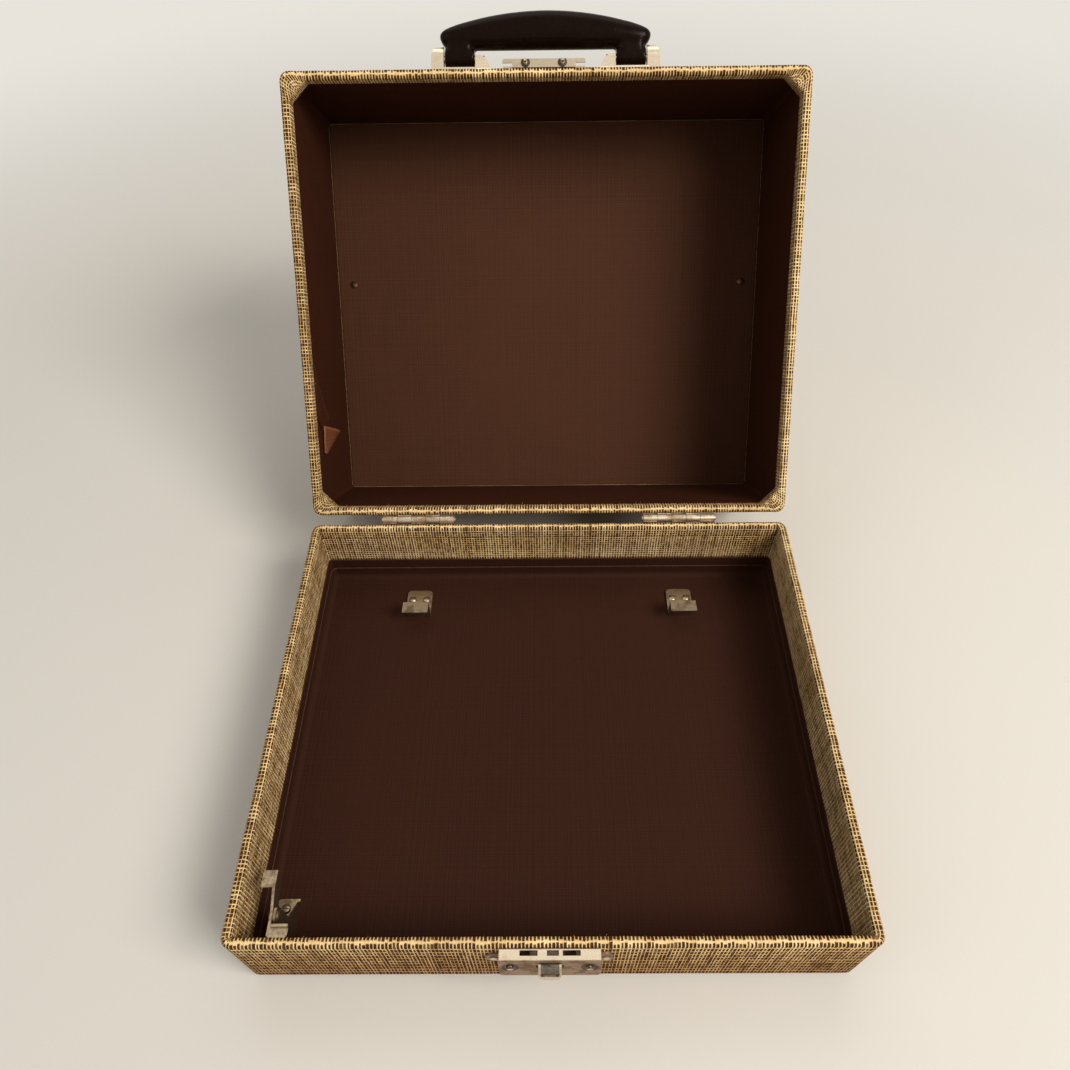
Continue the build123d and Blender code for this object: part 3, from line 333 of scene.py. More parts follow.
def buildPaintedRingShade():
    # painted shade in a ring round a stud or a rivet head, by the distance from its axis
    inputs = {"Vector": None, "Centre": None, "Axis": None, "Inner": 0.001, "Outer": 0.0025}
    given, out = newGroup("paintedRingShade", inputs, ("Ring",))
    away = vectorMaths("SUBTRACT", given["Vector"], given["Centre"])
    distance = vectorMaths("LENGTH", vectorMaths("CROSS_PRODUCT", away, given["Axis"]))
    outside = ramp(distance, times(given["Inner"], 0.8), given["Inner"])
    inside = ramp(distance, given["Outer"], times(given["Outer"], 1.25), 1.0, 0.0)
    ragged = ramp(noiseValue(given["Vector"], 900.0, 2.0), 0.25, 0.55, 0.7, 1.0)
    feed(out["Ring"], times(outside, inside, ragged))


buildTweedWeave()
buildLiningWeave()
buildAgeing()
buildMetalWear()
buildPaintedRingShade()
print("shared effects built")


# materials
def tweedMaterial(name, footDarkening=0.0):
    look = {
        "cream": srgb(255, 226, 170),
        "straw": srgb(232, 186, 120),
        "dash": srgb(60, 27, 4),
        "soil": srgb(136, 92, 46),
        "foot": srgb(142, 88, 40),
        "footHeights": (0.004, 0.0615),
    }
    shader, place = newMaterial(name)
    weave = useGroup("tweedWeave", Vector=clothPlace(shader))
    age = useGroup("ageing", Vector=place, Size=16.0)
    cream = mixColour(weave["Thread Tone"], look["cream"], look["straw"])
    cream = mixColour(times(age["Soil"], 0.3), cream, look["soil"])
    if footDarkening > 0:
        # the cream is darker towards the foot of the walls
        height = separate(place)[2]
        atFoot = ramp(height, *look["footHeights"], footDarkening, 0.0)
        atFoot = times(atFoot, ramp(age["Rub"], 0.0, 1.0, 1.0, 0.7))
        cream = mixColour(atFoot, cream, look["foot"])
    colour = mixColour(times(weave["Dash"], 0.97), cream, look["dash"])
    roughness = ramp(age["Rub"], 0.0, 1.0, 0.72, 0.55)
    dress(shader, colour, roughness, weave["Height"], 0.00035, 0.9, specular=0.02)


def liningMaterial(name, colour, paler, edge, pitch=0.00062, rings=()):
    look = {"scuff": srgb(150, 112, 88), "ring": srgb(24, 11, 6)}
    shader, place = newMaterial(name)
    weave = useGroup("liningWeave", Vector=clothPlace(shader), Pitch=pitch)
    age = useGroup("ageing", Vector=place, Size=11.0, Sharpness=0.2)
    base = mixColour(ramp(weave["Streak"], 0.25, 0.75), colour, paler)
    base = mixColour(times(age["Soil"], 0.45), base, paler)
    base = mixColour(times(age["Speck"], age["Rub"], 0.12), base, look["scuff"])
    # the cut edge is frayed and paler
    border = addNode("ShaderNodeAttribute", {"attribute_name": "border"}, shader.id_data).outputs["Fac"]
    frayed = times(border, ramp(noiseValue(place, 420.0, 3.0), 0.3, 0.6, 0.45, 1.0))
    base = mixColour(frayed, base, edge)
    # painted shade in a ring round each tack head on the cloth
    for ring in rings:
        paintedShade = useGroup("paintedRingShade", Vector=place, **ring)["Ring"]
        base = mixColour(times(paintedShade, 0.8), base, look["ring"])
    roughness = ramp(age["Soil"], 0.0, 1.0, 0.66, 0.8)
    dress(shader, base, roughness, weave["Height"], 0.00012, 0.6, specular=0.06)


def paintedHollowShade(place, hollow):
    # painted shade in a hollow: a box in x, open above lowZ
    apart = separate(place)
    fromMiddle = maths("ABSOLUTE", minus(apart[0], hollow["middleX"]))
    within = ramp(fromMiddle, hollow["halfX"] - 0.0003, hollow["halfX"], 1.0, 0.0)
    above = ramp(apart[2], hollow["lowZ"], hollow["lowZ"] + 0.0003)
    mottled = ramp(noiseValue(place, 500.0, 3.0), 0.3, 0.6, 0.75, 1.0)
    return times(within, above, mottled)


def platedMaterial(name, colour, tarnished, roughness, tarnish, pitting, rings=(), paintedShade=None, hollow=None):
    look = {"pits": srgb(58, 42, 30), "paintedShade": paintedShade or srgb(40, 28, 20)}
    shader, place = newMaterial(name)
    wear = useGroup("metalWear", Vector=place, Tarnish=tarnish, Pitting=pitting)
    base = mixColour(times(wear["Tarnish"], 0.75), colour, tarnished)
    base = mixColour(wear["Pits"], base, look["pits"])
    pitsAndShade = wear["Pits"]
    # painted shade in rings round heads and in a hollow, mixed into the base colour
    shadeMasks = [useGroup("paintedRingShade", Vector=place, **ring)["Ring"] for ring in rings]
    if hollow is not None:
        shadeMasks.append(paintedHollowShade(place, hollow))
    if shadeMasks:
        shadeMask = largest(*shadeMasks)
        base = mixColour(shadeMask, base, look["paintedShade"])
        pitsAndShade = largest(pitsAndShade, shadeMask)
    rough = plus(roughness, times(wear["Scratch"], 0.16), times(wear["Tarnish"], 0.22))
    dress(shader, base, rough, wear["Height"], 0.00012, 0.5)
    # the real pits and the painted shade are less metallic
    feed(shader.inputs["Metallic"], ramp(pitsAndShade, 0.0, 1.0, 1.0, 0.25))


def mouldedMaterial(name):
    look = {"brown": srgb(21, 9, 5), "worn": srgb(50, 29, 18), "nick": srgb(18, 12, 9)}
    shader, place = newMaterial(name)
    age = useGroup("ageing", Vector=place, Size=60.0, Sharpness=0.1)
    nicks = times(spots(place, 170.0, 0.03, 0.11), ramp(noiseValue(place, 60.0), 0.5, 0.6))
    base = mixColour(times(age["Rub"], 0.3), look["brown"], look["worn"])
    base = mixColour(nicks, base, look["nick"])
    height = minus(times(noiseValue(place, 2400.0), 0.18), nicks)
    roughness = ramp(age["Soil"], 0.0, 1.0, 0.16, 0.28)
    dress(shader, base, roughness, height, 0.0002, 0.7, specular=0.055)


def boardMaterial(name):
    look = {"pale": srgb(190, 155, 110), "dark": srgb(146, 108, 68)}
    shader, place = newMaterial(name)
    alongGrain = stretchedPlace(place, (1.0, 9.0, 9.0))
    grain = noiseValue(alongGrain, 45.0, 6.0, 0.62)
    colour = mixColour(ramp(grain, 0.35, 0.65), look["pale"], look["dark"])
    dress(shader, colour, ramp(grain, 0.2, 0.8, 0.62, 0.8), grain, 0.0002, 0.5)


def threadMaterial(name):
    look = {"pale": srgb(238, 212, 164), "dark": srgb(150, 112, 62)}
    shader, place = newMaterial(name)
    tone = ramp(noiseValue(place, 500.0), 0.4, 0.6)
    feed(shader.inputs["Base Color"], mixColour(tone, look["pale"], look["dark"]))
    feed(shader.inputs["Roughness"], 0.8)


def ringsRound(nodeName, axis, inner, outer, headRadius=None):
    # a ring for each of a node's two heads; inner and outer are shares of a head's radius
    low, high = boxCorners(nodeName)
    middle = (low + high) / 2
    radius = headRadius or (high.z - low.z) / 2
    return [
        {"Centre": (x, middle.y, middle.z), "Axis": axis, "Inner": radius * inner, "Outer": radius * outer}
        for x in (low.x + radius, high.x - radius)
    ]


lidAxis = tuple(openLid.to_3x3() @ Vector((0, 0, 1)))
forwards = (0.0, 1.0, 0.0)
smallHead = 0.0011
thumbLow, thumbHigh = boxCorners("lock_thumb_slide")
# the thumb slide's dish, which gets painted shade
thumbHollow = {"middleX": (thumbLow.x + thumbHigh.x) / 2, "halfX": 0.0048, "lowZ": thumbLow.z + 0.0017}

tweedMaterial("tweedCloth")
tweedMaterial("trayTweedCloth", footDarkening=0.62)

# each lining: its colour, its paler threads and its cut edge, and how coarse a rough one is
linings = {
    "panelLining": (srgb(61, 34, 22), srgb(84, 53, 37), srgb(88, 57, 41)),
    # the lid's wall lining is darker than the panel's: painted shade from grazing light
    "wallLining": (srgb(46, 20, 9), srgb(66, 34, 20), srgb(96, 56, 38)),
    "darkLining": (srgb(40, 20, 12), srgb(60, 34, 23), srgb(82, 54, 40)),
    "underCloth": (srgb(38, 28, 24), srgb(60, 46, 40), srgb(84, 66, 56), 0.0009),
    "rawCard": (srgb(80, 42, 25), srgb(110, 64, 42), srgb(142, 92, 64), 0.0009),
}
# each metal: bare and tarnished colour, roughness, how far the tarnish goes, how pitted
metals = {
    "polishedNickel": (srgb(229, 213, 188), srgb(160, 132, 99), 0.26, 0.5, 0.25),
    "haspNickel": (srgb(196, 181, 158), srgb(140, 114, 84), 0.28, 0.6, 0.4),
    "tarnishedNickel": (srgb(198, 184, 164), srgb(128, 100, 70), 0.34, 0.8, 0.8),
    # the lock's plates: nickel made darker with a painted dark reflection, with real tarnish and pits
    "brownedNickel": (srgb(158, 131, 108), srgb(104, 78, 58), 0.4, 0.7, 0.8),
    "rivetNickel": (srgb(214, 198, 176), srgb(150, 122, 92), 0.28, 0.5, 0.4),
    "tackBrown": (srgb(112, 80, 58), srgb(70, 46, 32), 0.5, 0.8, 0.6),
    # the lock's slide plate: tarnished steel, made darker with painted shade where it lies inside the case
    "darkenedSteel": (srgb(96, 82, 66), srgb(60, 46, 32), 0.5, 0.8, 0.6),
    "plainSteel": (srgb(186, 178, 164), srgb(112, 86, 60), 0.36, 0.7, 0.6),
    "agedSteel": (srgb(182, 164, 136), srgb(84, 54, 32), 0.3, 0.76, 1.0),
    "thumbNickel": (srgb(214, 196, 172), srgb(150, 122, 92), 0.28, 0.5, 0.3),
}
# painted shade on either: rings round tacks, studs and rivet heads, and the thumb's hollow
# painted shade round the lock's rivets, on the front plate and on the heads
plateRings = ringsRound("lock_front_rivets", forwards, 0.95, 1.35)
headRings = ringsRound("lock_front_rivets", forwards, 0.55, 1.2)
headRings += ringsRound("lock_ear_rivets", forwards, 0.72, 1.2)
paintedShadeFor = {
    "panelLining": {"rings": ringsRound("lid_panel_tacks", lidAxis, 0.9, 2.1, smallHead)},
    "haspNickel": {"rings": ringsRound("hasp_studs", lidAxis, 1.1, 2.3, smallHead)},
    "brownedNickel": {"paintedShade": srgb(52, 30, 16), "rings": plateRings},
    "rivetNickel": {"paintedShade": srgb(72, 50, 34), "rings": headRings},
    "thumbNickel": {"paintedShade": srgb(58, 48, 34), "hollow": thumbHollow},
}
for build, looks in ((liningMaterial, linings), (platedMaterial, metals)):
    for name, look in looks.items():
        build(name, *look, **paintedShadeFor.get(name, {}))
mouldedMaterial("mouldedBrown")
boardMaterial("bareBoard")
threadMaterial("frayedThread")
print("materials built")


# cloth around the walls
def wallStations(width, depth, radius, wall, step, fold=0.0):
    # places round a rounded rectangle: outer point, way inwards, how far the wall reaches
    halfX, halfY = width / 2, depth / 2
    cx, cy = halfX - radius, halfY - radius
    arcSteps = 20
    arcLength = radius * math.pi / 2
    walls = [("front", -1), ("side", 1), ("front", 1), ("side", -1)]
    centres = [Vector((cx, -cy)), Vector((cx, cy)), Vector((-cx, cy)), Vector((-cx, -cy))]
    path = []
    for turn, (kind, sign) in enumerate(walls):
        # a wall and the corner after it
        outward = Vector((0, sign)) if kind == "front" else Vector((sign, 0))
        start, end = centres[turn - 1] + outward * radius, centres[turn] + outward * radius
        count = max(2, round((end - start).length / step))
        for index in range(count):
            point = start.lerp(end, index / count)
            path.append(SimpleNamespace(point=point, kind=kind, sign=sign, outward=outward, centre=None,
                                        alongX=point.x, alongY=point.y))
        for index in range(arcSteps):
            share = index / arcSteps
            angle = (turn - 1 + share) * math.pi / 2
            outward = Vector((math.cos(angle), math.sin(angle)))
            point = centres[turn] + outward * radius
            nearKind, nearSign = walls[turn] if share < 0.5 else walls[(turn + 1) % 4]
            fromFront = share if kind == "front" else 1 - share
            alongX = math.copysign(cx + arcLength * fromFront, point.x)
            alongY = math.copysign(cy + arcLength * (1 - fromFront), point.y)
            path.append(SimpleNamespace(point=point, kind=nearKind, sign=nearSign, outward=outward,
                                        centre=centres[turn], fromFront=fromFront,
                                        alongX=alongX, alongY=alongY))
    for place in path:
        place.corner = (math.copysign(1, place.point.x), math.copysign(1, place.point.y))
        place.half, place.radius = (halfX, halfY), radius
        place.way, place.reach = -place.outward, wall
        if fold > 0:
            foldCorner(place, wall, fold, arcLength)
    return path


def caseWalls(step, fold):
    return wallStations(caseWidth, caseDepth, outerCorner, wallThickness, step, fold)


def foldCorner(place, wall, fold, arcLength):
    # the rim's cloth is folded across each inner corner
    point, radius = place.point, place.radius
    halfX, halfY = place.half
    signX, signY = place.corner
    limit = fold + wall - radius
    total = 2 * limit + arcLength
    if place.centre is None:
        onFront = place.kind == "front"
        run = (halfX - abs(point.x) if onFront else halfY - abs(point.y)) - radius
        if run >= limit:
            return
        across = limit - run if onFront else total - (limit - run)
    else:
        across = limit + place.fromFront * arcLength
    nearFront = Vector((signX * (halfX - wall - fold), signY * (halfY - wall)))
    nearSide = Vector((signX * (halfX - wall), signY * (halfY - wall - fold)))
    inner = nearFront.lerp(nearSide, across / total)
    place.way = (inner - point).normalized()
    place.reach = (inner - point).length


def flatPlace(place, offset):
    # a point on a level face, at one distance from the outline, closing in on its ridge
    onArc = place.centre is not None
    if offset <= place.radius and onArc:
        return place.centre + place.outward * (place.radius - offset)
    inner = place.point - place.outward * offset
    if offset <= place.radius:
        return inner
    limitX, limitY = place.half[0] - offset, place.half[1] - offset
    if onArc:
        return Vector((place.corner[0] * limitX, place.corner[1] * limitY))
    return Vector((max(-limitX, min(limitX, inner.x)), max(-limitY, min(limitY, inner.y))))


# a profile's points: offset inwards, height, flat or wall, how lively, how much a cut edge
def level(offset, height, lively=0.0, border=0.0):
    return (offset, height, "flat", lively, border)


def upright(offset, height, lively=0.0, border=0.0):
    return (offset, height, "wall", lively, border)


def measured(points, start=0.0):
    # adds the run along the cloth to each point of a profile
    result = []
    run = start
    for index, point in enumerate(points):
        if index:
            run += math.hypot(point[0] - points[index - 1][0], point[1] - points[index - 1][1])
        result.append(point + (run,))
    return result


def arcPoints(offset, height, radius, start, end, steps, side=1):
    # a quarter round in the profile
    angles = [start + (end - start) * index / steps for index in range(steps + 1)]
    return [(offset + radius * math.cos(angle), height + side * radius * math.sin(angle)) for angle in angles]


def showPiece(name, mesh, finishes=()):
    piece = bpy.data.objects.new(name, mesh)
    scene.collection.objects.link(piece)
    for finish in finishes:
        mesh.materials.append(bpy.data.materials[finish])
    return piece


def finishMesh(work, name, finishes, move):
    # closes the seams, turns the faces outwards and stands the piece in its place
    bmesh.ops.remove_doubles(work, verts=work.verts, dist=2e-6)
    bmesh.ops.dissolve_degenerate(work, edges=work.edges, dist=1e-7)
    bmesh.ops.recalc_face_normals(work, faces=work.faces)
    bmesh.ops.transform(work, matrix=move, verts=work.verts)
    mesh = bpy.data.meshes.new(name)
    work.to_mesh(mesh)
    work.free()
    return showPiece(name, mesh, finishes)


def sweepCloth(name, path, profile, finish, seed, move, closed=True, rows=None):
    # profile gives a place's measured points; rows gives the weave's place up a front or back
    # wall, which is the run itself without it
    work = bmesh.new()
    uvLayer = work.loops.layers.uv.new("weave")
    borderLayer = work.verts.layers.float.new("border")
    rings = [profile(place) for place in path]
    ringCount = len(rings[0])
    halfX, halfY = path[0].half
    vertices = []
    for place, ring in zip(path, rings):
        line = []
        for offset, height, mapKind, lively, border, _ in ring:
            onFlat = mapKind == "flat"
            point = flatPlace(place, offset) if onFlat else place.point + place.way * offset
            position = Vector((point.x, point.y, height))
            if lively > 0:
                swell = noise.noise(position * 38.0 + Vector((seed, 0, 0))) * 0.6
                swell += noise.noise(position * 150.0 + Vector((0, seed, 0))) * 0.4
                position += (Vector((0, 0, 1)) if onFlat else -place.way.to_3d()) * swell * lively
            vertex = work.verts.new(position)
            vertex[borderLayer] = border
            line.append(vertex)
        vertices.append(line)

    def mapped(vertex, around, run, flat, place):
        if flat:
            return (vertex.co.x, vertex.co.y)
        sign = place.sign
        if place.kind == "front":
            return (around.alongX, sign * (rows(sign, run) if rows else run))
        return (sign * (run + halfX - halfY), around.alongY)

    for index, place in enumerate(path):
        following = (index + 1) % len(path)
        for ringIndex in range(ringCount if closed else ringCount - 1):
            other = (ringIndex + 1) % ringCount
            corners = [(vertices[at][ringAt], path[at], rings[at][ringAt]) for at, ringAt in
                       ((index, ringIndex), (following, ringIndex), (following, other), (index, other))]
            face = work.faces.new([vertex for vertex, around, values in corners])
            face.smooth = True
            flat = all(values[2] == "flat" for vertex, around, values in corners)
            for loop, (vertex, around, values) in zip(face.loops, corners):
                loop[uvLayer].uv = mapped(vertex, around, values[5], flat, place)
    return finishMesh(work, name, [finish], move)


def sweepRing(name, half, values, points, finish, move, closed=False):
    # the same profile all round
    ring = measured(points, values["runStart"])
    path = wallStations(2 * half[0], 2 * half[1], values["cornerRadius"], 0.0, values["step"])
    return sweepCloth(name, path, lambda place: ring, finish, values["seed"], move, closed)


def dressNode(piece, node, restsOn):
    # a cloth node's name starts with its body's
    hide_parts(node)
    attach(piece, node.split("_")[0])
    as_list(restsOn)


sides = ("front", "back", "left", "right")
trayBoards = ["tray_" + side + "_board" for side in ("bottom",) + sides]
lidBoards = ["lid_" + side + "_board" for side in ("top",) + sides]
rimRows = {"half": 0.0042, "onRim": 0.36, "onFront": 0.4}  # how much longer the dashes are drawn there


def stretchedRows(points, rimHeight, rim, frontShare):
    # a pale thread lies on the middle of the rim, and the dashes beside it are long
    start = next(point for point in points if abs(point[1] - rimHeight) < 1e-6)
    crest = start[5] + wallThickness / 2 - rim
    half = rimRows["half"]

    def rows(sign, run):
        away = abs(run - crest)
        beyond = max(0.0, away - half) * (frontShare if sign < 0 else 1.0)
        return math.copysign(min(away, half) * rimRows["onRim"] + beyond, run - crest)

    return rows


def coverWalls(name, values, finish, move, frontShare):
    # cloth from a level face round its edge, along the walls and over the rim
    far, rimHeight, side = values["far"], values["rimHeight"], values["side"]
    edge, rim, inside = values["edgeRound"], values["rimRound"], values["wrapInside"]
    steps, offsets, openEdge = values["wallSteps"], values["levelOffsets"], values["openEdge"]
    lively, creased, thick = values["wave"], values["wave"] * 1.3, clothThickness

    def fromRim(distance):
        return rimHeight - side * distance

    def profile(place):
        reach = place.reach
        points = [level(offsets[0], far, border=openEdge)]
        points += [level(offset, far) for offset in offsets[1:] + [edge]]
        quarter = arcPoints(edge, far + side * edge, edge, -math.pi / 2, -math.pi, values["edgeSteps"], side)
        points += [upright(*point) for point in quarter[1:]]
        for index in range(1, steps + 1):
            height = far + side * (edge + index / steps * (abs(far - rimHeight) - edge - rim))
            points.append(upright(0.0, height, lively if index < steps else creased))
        outer = arcPoints(rim, fromRim(rim), rim, math.pi, math.pi / 2, 5, side)
        inner = arcPoints(reach - rim, fromRim(rim), rim, math.pi / 2, 0.0, 5, side)
        points += [upright(*point, creased) for point in outer[1:]]
        points.append(upright(reach / 2, rimHeight, lively))
        points += [upright(*point, creased) for point in inner]
        for share in (0.35, 0.7, 0.9):
            points.append(upright(reach, fromRim(rim + share * (inside - rim)), lively * 0.5))
        points.append(upright(reach, fromRim(inside), lively * 0.5, 1.0))
        # the cloth's back, against the boards
        points += [
            upright(reach - thick, fromRim(inside - 0.0002), border=1.0),
            upright(reach - thick, fromRim(rim)),
            upright(reach - rim, fromRim(thick)),
            upright(rim, fromRim(thick)),
            upright(thick, fromRim(rim)),
            upright(thick, far + side * edge),
            level(edge, far + side * thick),
            level(outerCorner + 0.0001, far + side * thick),
            level(offsets[0], far + side * thick, border=openEdge),
        ]
        return measured(points, values["runStart"])

    path = caseWalls(values["step"], values["cornerFold"])
    rows = stretchedRows(profile(path[0]), rimHeight, rim, frontShare)
    return sweepCloth(name, path, profile, finish, values["seed"], move, openEdge > 0, rows)


# tweed round the tray: under the bottom's edge, up the walls and over the rim
trayCloth = {
    "far": trayLow.z, "rimHeight": trayHigh.z, "side": 1, "edgeRound": 0.003, "edgeSteps": 5,
    "rimRound": 0.0019, "wrapInside": 0.010, "levelOffsets": [0.014, 0.013, 0.010, 0.0061],
    "openEdge": 1.0, "wallSteps": 12, "cornerFold": 0.0, "wave": 0.00024,
    "runStart": caseDepth / 2 - 0.014, "step": 0.0026, "seed": 3.1,
}
trayTweed = coverWalls("trayTweed", trayCloth, "trayTweedCloth", levelTray, rimRows["onFront"])
dressNode(trayTweed, "tray_tweed_cover", trayBoards)
print("tray covered")

# tweed over the lid: its top, its walls and its rim, folded across the inner corners
lidCloth = {
    "far": lidTop, "rimHeight": lidLow, "side": -1, "edgeRound": 0.0052, "edgeSteps": 7,
    "rimRound": 0.0019, "wrapInside": 0.009,
    "levelOffsets": [caseDepth / 2 - 0.0135 * index for index in range(10)] + [0.0061],
    "openEdge": 0.0, "wallSteps": 22, "cornerFold": 0.011, "wave": 0.00024,
    "runStart": 0.0, "step": 0.0026, "seed": 7.7,
}
lidTweed = coverWalls("lidTweed", lidCloth, "tweedCloth", standOpen, 1.0)
dressNode(lidTweed, "lid_tweed_cover", lidBoards)
print("lid covered")


def insideBand(name, values, finish, move):
    # a strip of cloth glued round the inside of the walls
    thick, low, high = values["thickness"], values["low"], values["high"]
    lowEdge, highEdge = values["lowEdge"], values["highEdge"]
    steps = max(2, round((high - low) / 0.006))
    heights = [low + 0.0012 + (high - low - 0.0024) * index / steps for index in range(steps + 1)]
    points = [upright(thick * 0.55, low, border=lowEdge), upright(thick, low + 0.0002, border=lowEdge)]
    points += [upright(thick, height, values["wave"]) for height in heights]
    points += [
        upright(thick, high - 0.0002, border=highEdge),
        upright(thick * 0.55, high, border=highEdge),
        upright(0.00002, high - 0.0001),
        upright(0.00002, low + 0.0001),
    ]
    return sweepRing(name, (insideX, insideY), values, points, finish, move, closed=True)


# the tweed strip inside the tray, below the rim's cloth
innerTweed = {
    "low": 0.0296, "high": 0.0529, "thickness": 0.0006, "lowEdge": 0.6, "highEdge": 0.6,
    "cornerRadius": 0.003, "wave": 0.00015, "runStart": 0.2, "step": 0.004, "seed": 5.2,
}
trayInnerTweed = insideBand("trayInnerTweed", innerTweed, "tweedCloth", levelTray)
dressNode(trayInnerTweed, "tray_inner_tweed", trayBoards[1:])

# the dark strip at the foot of the tray's walls
skirt = {
    "low": 0.0096, "high": 0.0294, "thickness": 0.0006, "lowEdge": 0.0, "highEdge": 0.8,
    "cornerRadius": 0.003, "wave": 0.00012, "runStart": 0.25, "step": 0.004, "seed": 8.4,
}
traySkirt = insideBand("traySkirt", skirt, "darkLining", levelTray)
dressNode(traySkirt, "tray_skirt_lining", trayBoards[1:])

# brown book cloth inside the lid's walls
lidBand = {
    "low": lidLow + 0.0091, "high": lidLow + 0.1018, "thickness": 0.0006, "lowEdge": 0.35, "highEdge": 0.0,
    "cornerRadius": 0.0035, "wave": 0.0004, "runStart": 0.3, "step": 0.004, "seed": 1.9,
}
lidWallLining = insideBand("lidWallLining", lidBand, "wallLining", standOpen)
dressNode(lidWallLining, "lid_wall_lining", lidBoards[1:])
print("walls lined")

# the loose mat on the tray's floor, turned up a little at the walls
floorMat = {
    "low": 0.0095, "high": 0.0205, "thickness": 0.0008, "upThickness": 0.0005, "bend": 0.0035,
    "half": (insideX - 0.0006, insideY - 0.0006), "cornerRadius": 0.0045,
    "wave": 0.00025, "runStart": 0.0, "step": 0.004, "seed": 2.2,
}


def layMat(name, values, finish, move):
    low, high, bend, up = values["low"], values["high"], values["bend"], values["upThickness"]
    top, ridge, lively = low + values["thickness"], values["half"][1], 0.0001
    points = [level(ridge - 0.0135 * index, top, values["wave"]) for index in range(10)]
    points += [level(0.0075, top), level(up + bend, top)]
    quarter = arcPoints(up + bend, top + bend, bend, -math.pi / 2, -math.pi, 5)
    points += [upright(*point) for point in quarter[1:]]
    points += [
        upright(up, 0.0175, lively),
        upright(up, high - 0.0011, lively),
        upright(up, high - 0.0001, lively, 1.0),
        upright(up / 2, high, border=1.0),
        upright(0.00002, high - 0.0001, border=1.0),
        upright(0.00002, low + 0.0016),
        level(0.0016, low + 0.00002),
        level(ridge, low + 0.00002),
    ]
    return sweepRing(name, values["half"], values, points, finish, move)


trayFloorLining = layMat("trayFloorLining", floorMat, "darkLining", levelTray)
dressNode(trayFloorLining, "tray_floor_lining", trayBoards[:1])


def coveredCard(name, values, finish, move):
    # a flat cloth-covered card that looks down in the closed case, its edges turned over
    base, thick, edge, ridge = values["base"], values["thickness"], values["edge"], values["half"][1]
    points = [level(ridge - 0.0125 * index, base - thick, values["wave"]) for index in range(10)]
    points += [level(0.008, base - thick, values["wave"] * 0.5), level(0.0023, base - thick * 0.97)]
    for offset, share in ((edge, 0.9), (edge * 0.35, 0.66), (0.0, 0.3)):
        points.append(level(offset, base - thick * share, border=values["pale"]))
    points += [level(0.0001, base), level(ridge, base)]
    return sweepRing(name, values["half"], values, points, finish, move)


# the covered card inside the lid's top
lidCard = {
    "base": lidLow + 0.1028, "thickness": 0.0012, "edge": 0.0009,
    "half": (insideX - 0.0008, insideY - 0.0008), "cornerRadius": 0.0025, "pale": 0.7,
    "wave": 0.0004, "runStart": 0.0, "step": 0.004, "seed": 4.6,
}
lidPanelLining = coveredCard("lidPanelLining", lidCard, "panelLining", standOpen)
dressNode(lidPanelLining, "lid_panel_lining", lidBoards[:1])

# the cloth under the tray's bottom
baseCloth = {
    "base": 0.00498, "thickness": 0.00066, "edge": 0.0006,
    "half": (caseWidth / 2 - 0.0143, caseDepth / 2 - 0.0143), "cornerRadius": 0.004, "pale": 1.0,
    "wave": 0.00008, "runStart": 0.0, "step": 0.005, "seed": 6.3,
}
trayUnderCloth = coveredCard("trayUnderCloth", baseCloth, "underCloth", levelTray)
dressNode(trayUnderCloth, "tray_under_cloth", trayBoards[:1])
print("floor, panel and bottom covered")

# where the lid's lining is torn: a folded-back corner and a lifted edge, on the left wall
# its points are a depth from the rim and a place along the wall
tear = {
    "wallX": -(insideX - 0.0006),
    "flap": [(0.0225, 0.0798), (0.0569, 0.0863), (0.0201, 0.0994)],
    "edge": [(0.0094, 0.034), (0.0150, 0.0520), (0.0235, 0.0660), (0.0330, 0.0771)],
    "foot": [(0.0093, 0.034), (0.0093, 0.0560), (0.0110, 0.0740), (0.0200, 0.0830)],
    "thickness": 0.0004,
}


def thinShell(work, grid, materialIndex):
    # a closed shell over rows of points: depth, place along, lift off the wall, paleness
    uvLayer = work.loops.layers.uv["weave"]
    borderLayer = work.verts.layers.float["border"]
    rings = []
    for row in grid:
        # out along the side that faces the wall and back along the other
        ring = []
        both = [(point, 0.0) for point in row] + [(point, tear["thickness"]) for point in reversed(row)]
        for (depth, along, lift, border), raised in both:
            vertex = work.verts.new((tear["wallX"] + lift + raised, along, lidLow + depth))
            vertex[borderLayer] = border
            ring.append(vertex)
        rings.append(ring)
    size = len(rings[0])
    quads = []
    for ring, following in zip(rings, rings[1:]):
        for at in range(size):
            # on the way back the corners start one later, so both sides have the same diagonals
            corners = (ring[at - 1], ring[at], following[at], following[at - 1])
            quads.append(corners if at <= size // 2 else corners[1:] + corners[:1])
    for ring in (rings[0], rings[-1]):
        quads += [(ring[at], ring[at + 1], ring[-2 - at], ring[-1 - at]) for at in range(size // 2 - 1)]
    for corners in quads:
        face = work.faces.new(corners)
        face.smooth = True
        face.material_index = materialIndex
        for loop in face.loops:
            loop[uvLayer].uv = (loop.vert.co.y, loop.vert.co.z)


def flapPoint(down, across):
    first, second, third = (Vector(point) for point in tear["flap"])
    point = first.lerp(third, down).lerp(second.lerp(third, down), across)
    curl = math.sin(math.pi * min(1.0, across * 0.75)) * (1 - 0.75 * down)
    crease = noise.noise(Vector((point.x * 90, point.y * 90, 3.0)))
    lift = 0.0008 + 0.0034 * curl + 0.0008 * across + 0.0004 * crease
    return point.x, point.y, lift, 1.0 if down == 0 or across in (0, 1) else 0.1


